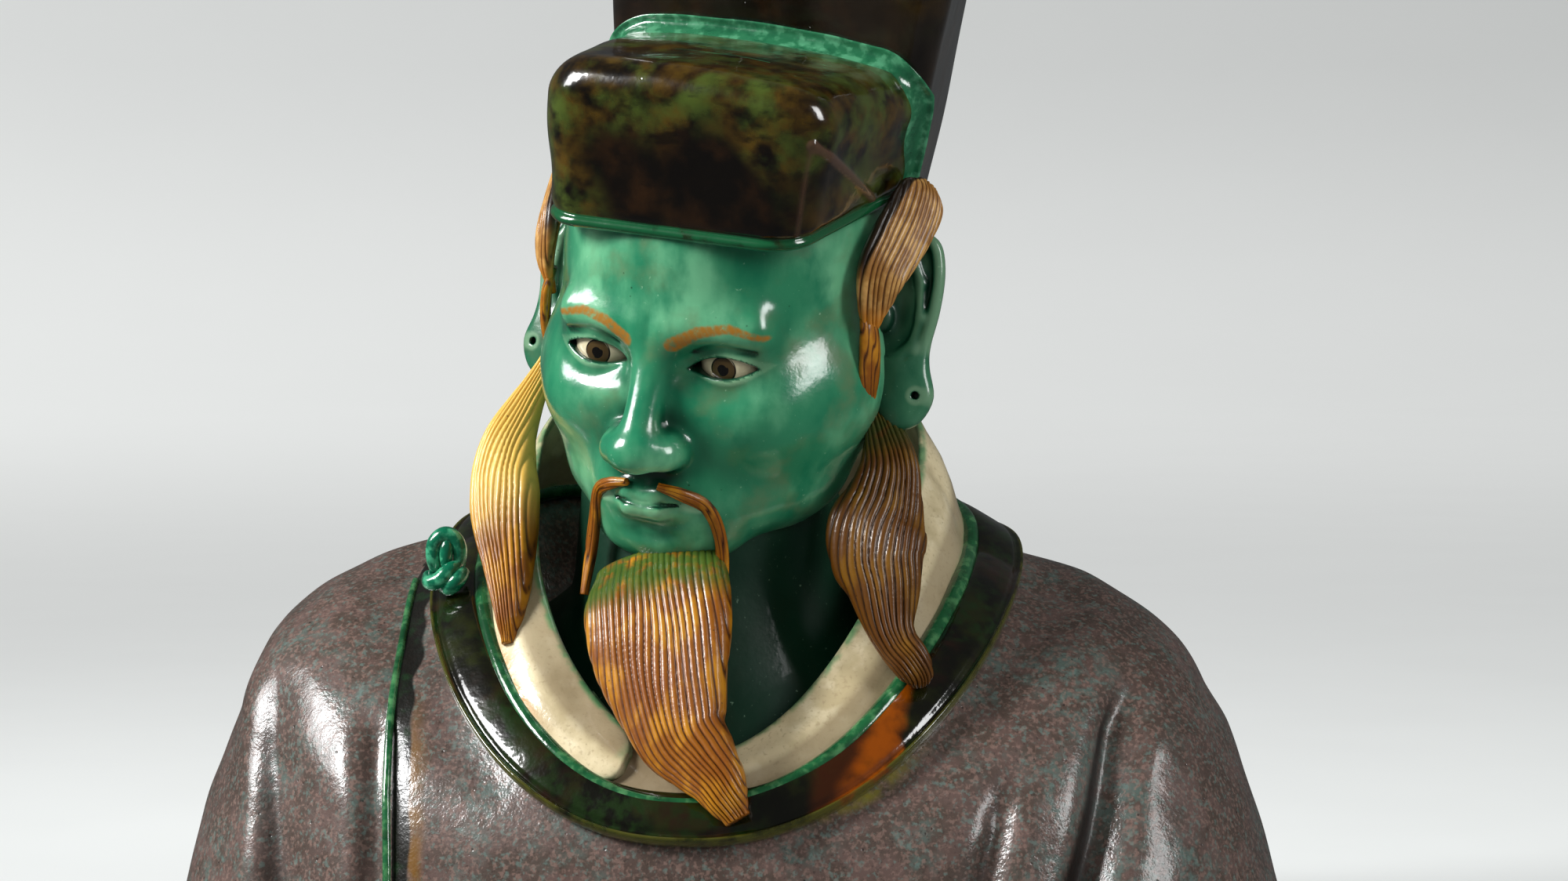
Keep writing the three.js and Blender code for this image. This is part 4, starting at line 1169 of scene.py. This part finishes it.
def cap_seam():
    """The hollow green seam where the front tier meets the rear one, with a thin ridge outside it."""
    depth = 6
    half = along_front(depth, FRONT_TIER["halves"])
    edge = front_edge(depth)
    a = np.linspace(0, math.pi / 2, 30)
    arc_x = half - edge * (1 - np.cos(a))
    arc_z = front_top(arc_x, depth) - edge * (1 - np.sin(a))
    left_z = front_top(-arc_x, depth) - edge * (1 - np.sin(a))
    top_x = np.linspace(-arc_x[-1], arc_x[-1], 80)[1:-1]
    x = np.r_[np.full(30, -half), -arc_x[1:], top_x, arc_x[:0:-1], np.full(30, half)]
    z = np.r_[np.linspace(41, left_z[0], 30), left_z[1:], front_top(top_x, depth), arc_z[:0:-1],
              np.linspace(arc_z[0], 41, 30)]
    line = capped(np.stack([x, 0 * x + depth], -1), z)
    along = unit(np.gradient(line[:, [0, 2]], axis=0))
    out = np.stack([-along[:, 1], 0 * z, along[:, 0]], -1)
    up = np.clip(out[:, 2:], 0, 1)
    ridge = line + out * (3.4 + 1.4 * up + 1.6 * np.clip(out[:, :1], 0, 1))
    ridge[:, 1] = np.minimum(rear_front(ridge[:, 0], ridge[:, 2]) - 0.6, 19)
    s = np.linspace(0, 1, 18)[None, :, None]
    proud = unit(out - [0, 1, 0])[:, None]
    line = line - out * 0.4
    band = ridge[:, None] + (line - ridge)[:, None] * s
    band = band + proud * (1.3 * bell((s - 0.07) / 0.08) - 1.5 * np.sin(math.pi * s ** 0.8))
    hidden = np.stack([line - out * 3, ridge - out * 3 + [0, 5, 0]], 1)
    rings = np.concatenate([band, hidden], 1)
    rings = rings + (0.3 * waves(rings, 10, 12))[..., None] * proud
    cavity = np.r_[bell((s.ravel() - 0.45) / 0.3), 0, 0][None, :]
    rings_piece("cap_seam", from_head(rings), SEAM_GREEN, {"cavity": cavity * 0.5})


# Hair

def lock(name, spec, strands, groove, look, head_frame=False, mirror=1, counts=(130, 150, 60),
         fan=0.6, sway=0.5, slant=0.0, marks=None):
    """A tapering lock, a flat oval along its path, cut into strands by grooves that are groove mm deep."""
    length, front, back = counts
    flip = np.array([mirror, 1, 1])
    path = np.array(spec["path"], float) * flip
    face = np.array(spec["facing"], float) * flip
    last = len(path) - 1
    t = np.linspace(0, 1, length)
    at = table_at(path, t * last, True)
    along = direction_at(path, t * last)
    across = unit(np.cross(along, face))
    out = unit(np.cross(across, along))
    half, deep = table_at(np.array([spec["width"], spec["thick"]], float).T, t * last).T
    s = np.r_[np.linspace(0, 1, front, endpoint=False), np.linspace(1, 0, back, endpoint=False)]
    u = 0.35 * np.cos(math.pi * s) + 0.65 * (1 - 2 * s)
    over = np.r_[np.ones(front), -np.ones(back)]
    v = over * np.sqrt(np.clip(1 - u * u, 0, 1)) ** 0.8
    u, v, tt = u[None, :], v[None, :], t[:, None]
    # Each strand is one lane, with a slow sway and a fine ripple. Two grooves in four are deeper.
    count = strands * (half / half.max())[:, None] ** fan
    lane = 0.5 * count * u * mirror + slant * tt * strands
    lane = lane + sway * np.sin(2 * math.pi * (1.15 * tt + 0.16 * u)) + 0.16 * np.sin(9 * tt + 7 * u)
    cut = 1 - np.abs(np.sin(math.pi * lane)) ** 0.42
    big = bell(((lane + 900.5) % 4 - 2) / 0.5) * 0.6
    fade = smoothstep(0, 0.05, tt) * np.clip(half[:, None] / 4, 0.3, 1)
    sink = groove * fade * (cut + big * cut)
    reach = 1 - 0.5 * sink / np.maximum(half[:, None], 1)
    p = (at[:, None] + across[:, None] * (half[:, None] * u * reach)[..., None]
         + out[:, None] * ((deep[:, None] - sink) * v)[..., None])
    p = from_head(p) if head_frame else p
    values = {"groove": cut, "root": smoothstep(0.2, 0.02, tt)}
    for key, value_at in (marks or {}).items():
        values[key] = value_at(u * mirror, tt)
    rings_piece(name, p, look, values)


def hair():
    lock("goatee", GOATEE, 21, 1.0, HAIR, counts=(180, 180, 30), sway=0.9, fan=0.75,
         marks={"root": lambda u, t: smoothstep(0.2, 0.08, t)})
    # The left whisker is darkened all over by painted shade.
    lock("whisker_left", WHISKER_LEFT, 14, 1.15, HAIR, counts=(170, 120, 40), sway=0.7,
         marks={"root": lambda u, t: smoothstep(0.22, 0.08, t) * 0.8, "dark": lambda u, t: 0.66})
    # The right whisker's upper half carries a painted pale sheen.
    lock("whisker_right", WHISKER_RIGHT, 13, 1.15, HAIR, counts=(170, 110, 40), sway=0.7,
         marks={"painted_sheen": lambda u, t: smoothstep(0.75, 0.35, t)})
    for side, word in ((1, "left"), (-1, "right")):
        lock("tuft_" + word, TUFT, 10, 1.0, TUFT_BROWN, True, side, (110, 110, 30), slant=0.5, fan=0.8,
             sway=0.25, marks={"dark": lambda u, t: smoothstep(-0.72, -0.86, u) * smoothstep(0.2, 0.4, t),
                               "root": lambda u, t: smoothstep(0.22, 0.05, t)})
        lock("sideburn_" + word, SIDEBURN, 4, 0.25, HAIR, True, side, (60, 40, 14))
        lock("moustache_" + word, MOUSTACHE, 3, 0.5, HAIR, True, side, (150, 36, 14),
             marks={"root": lambda u, t: 0})


# Stage, light and camera

FLOOR_REACH, WALL_BEND, WALL_TOP = 3.2, 1.7, 3.4  # metres


def sweep():
    """Pale round floor that curves up into a wall on every side, and glows behind the bust."""
    a = np.radians(np.linspace(-90, 0, 24))
    flat = np.linspace(0.02, FLOOR_REACH, 50)[:-1]
    radius = np.r_[flat, FLOOR_REACH + WALL_BEND * np.cos(a), FLOOR_REACH + WALL_BEND]
    height = np.r_[0 * flat, WALL_BEND * (1 + np.sin(a)), WALL_TOP]
    turn = circle(120)
    x, y = radius[:, None] * np.cos(turn), radius[:, None] * np.sin(turn)
    z = np.broadcast_to(height[:, None], x.shape)
    # It glows more to the photograph's left and far off, less above the floor, not in front of the bust.
    glow = 0.48 - 0.045 * x + 0.09 * smoothstep(0.8, 2.8, y) - 0.085 * smoothstep(0.05, 0.45, z)
    glow = glow * smoothstep(-0.8, 0.15, y)
    g = Glaze("sweep_paper", (160, 163, 162), 0.8, 0.0)
    g.layer((157, 160, 159), g.noise(120, 0.3, 0.7, 1, 1, 3))
    g.shader.inputs["Emission Color"].default_value = (0.985, 1, 0.99, 1)
    g.drive("Emission Strength", g.mark("glow"))
    points = np.stack([x, y, z], -1).reshape(-1, 3)
    obj = mesh_object("sweep", points, [grid_faces(*x.shape)], g.done(), {"glow": glow})
    obj.visible_glossy = False


def aimed(name, data, at, along):
    """Puts a light or a camera at a place, looking along a direction."""
    obj = bpy.data.objects.new(name, data)
    obj.location = at
    obj.rotation_mode = "QUATERNION"
    obj.rotation_quaternion = along.to_track_quat("-Z", "Y")
    bpy.context.scene.collection.objects.link(obj)
    return obj


LIGHTS_AIM_AT = (0, 0, 0.34)
SOFTBOXES = {  # place, width and height in metres, watts, spread in degrees, whether the glaze mirrors it
    "key_softbox": ((-1.4, -0.8, 1.3), (0.45, 0.6), 6, 60, True),
    "left_softbox": ((-1.6, -0.45, 1.15), (0.6, 0.9), 6, 90, True),
    "right_softbox": ((1.6, -0.7, 1.0), (0.55, 1.1), 4.5, 80, True),
    "fill_softbox": ((0.3, -2.0, 1.1), (1.4, 0.8), 2, 80, False),
}
WORLD_LIGHT, WORLD_STRENGTH = (0.86, 0.9, 0.92, 1), 0.08


def lights():
    for name, (at, size, power, spread, mirrored) in SOFTBOXES.items():
        light = bpy.data.lights.new(name, "AREA")
        light.shape = "RECTANGLE"
        light.size, light.size_y = size
        light.energy = power
        light.spread = math.radians(spread)
        obj = aimed(name, light, at, Vector(LIGHTS_AIM_AT) - Vector(at))
        obj.visible_camera = False
        obj.visible_glossy = mirrored
    world = bpy.data.worlds.new("studio")
    world.use_nodes = True
    background = world.node_tree.nodes["Background"]
    background.inputs["Color"].default_value = WORLD_LIGHT
    background.inputs["Strength"].default_value = WORLD_STRENGTH
    bpy.context.scene.world = world


AZIMUTH, ELEVATION = math.radians(8), math.radians(4)  # the photograph's angle
CAMERA_AIM, CAMERA_DISTANCE = Vector((0.0205, 0, 0.193)), 1.7
PIXEL, PHOTO_WIDTH, SENSOR = 0.00029, 2000, 36  # metres a pixel at the bust, pixels, and mm


def camera():
    level = math.cos(ELEVATION)
    back = Vector((math.sin(AZIMUTH) * level, -math.cos(AZIMUTH) * level, math.sin(ELEVATION)))
    data = bpy.data.cameras.new("camera")
    data.sensor_width = SENSOR
    data.lens = SENSOR * CAMERA_DISTANCE / (PIXEL * PHOTO_WIDTH)
    bpy.context.scene.camera = aimed("camera", data, CAMERA_AIM + back * CAMERA_DISTANCE, -back)


bpy.context.scene.view_settings.view_transform = "Standard"
camera()
lights()
sweep()
for build in (robe, outer_collar, inner_piping, inner_collar, flap_piping, knot,
              head, neck, eyes, ears, front_tier, rear_tier, cap_seam, hair):
    build()

bpy.context.view_layer.update()
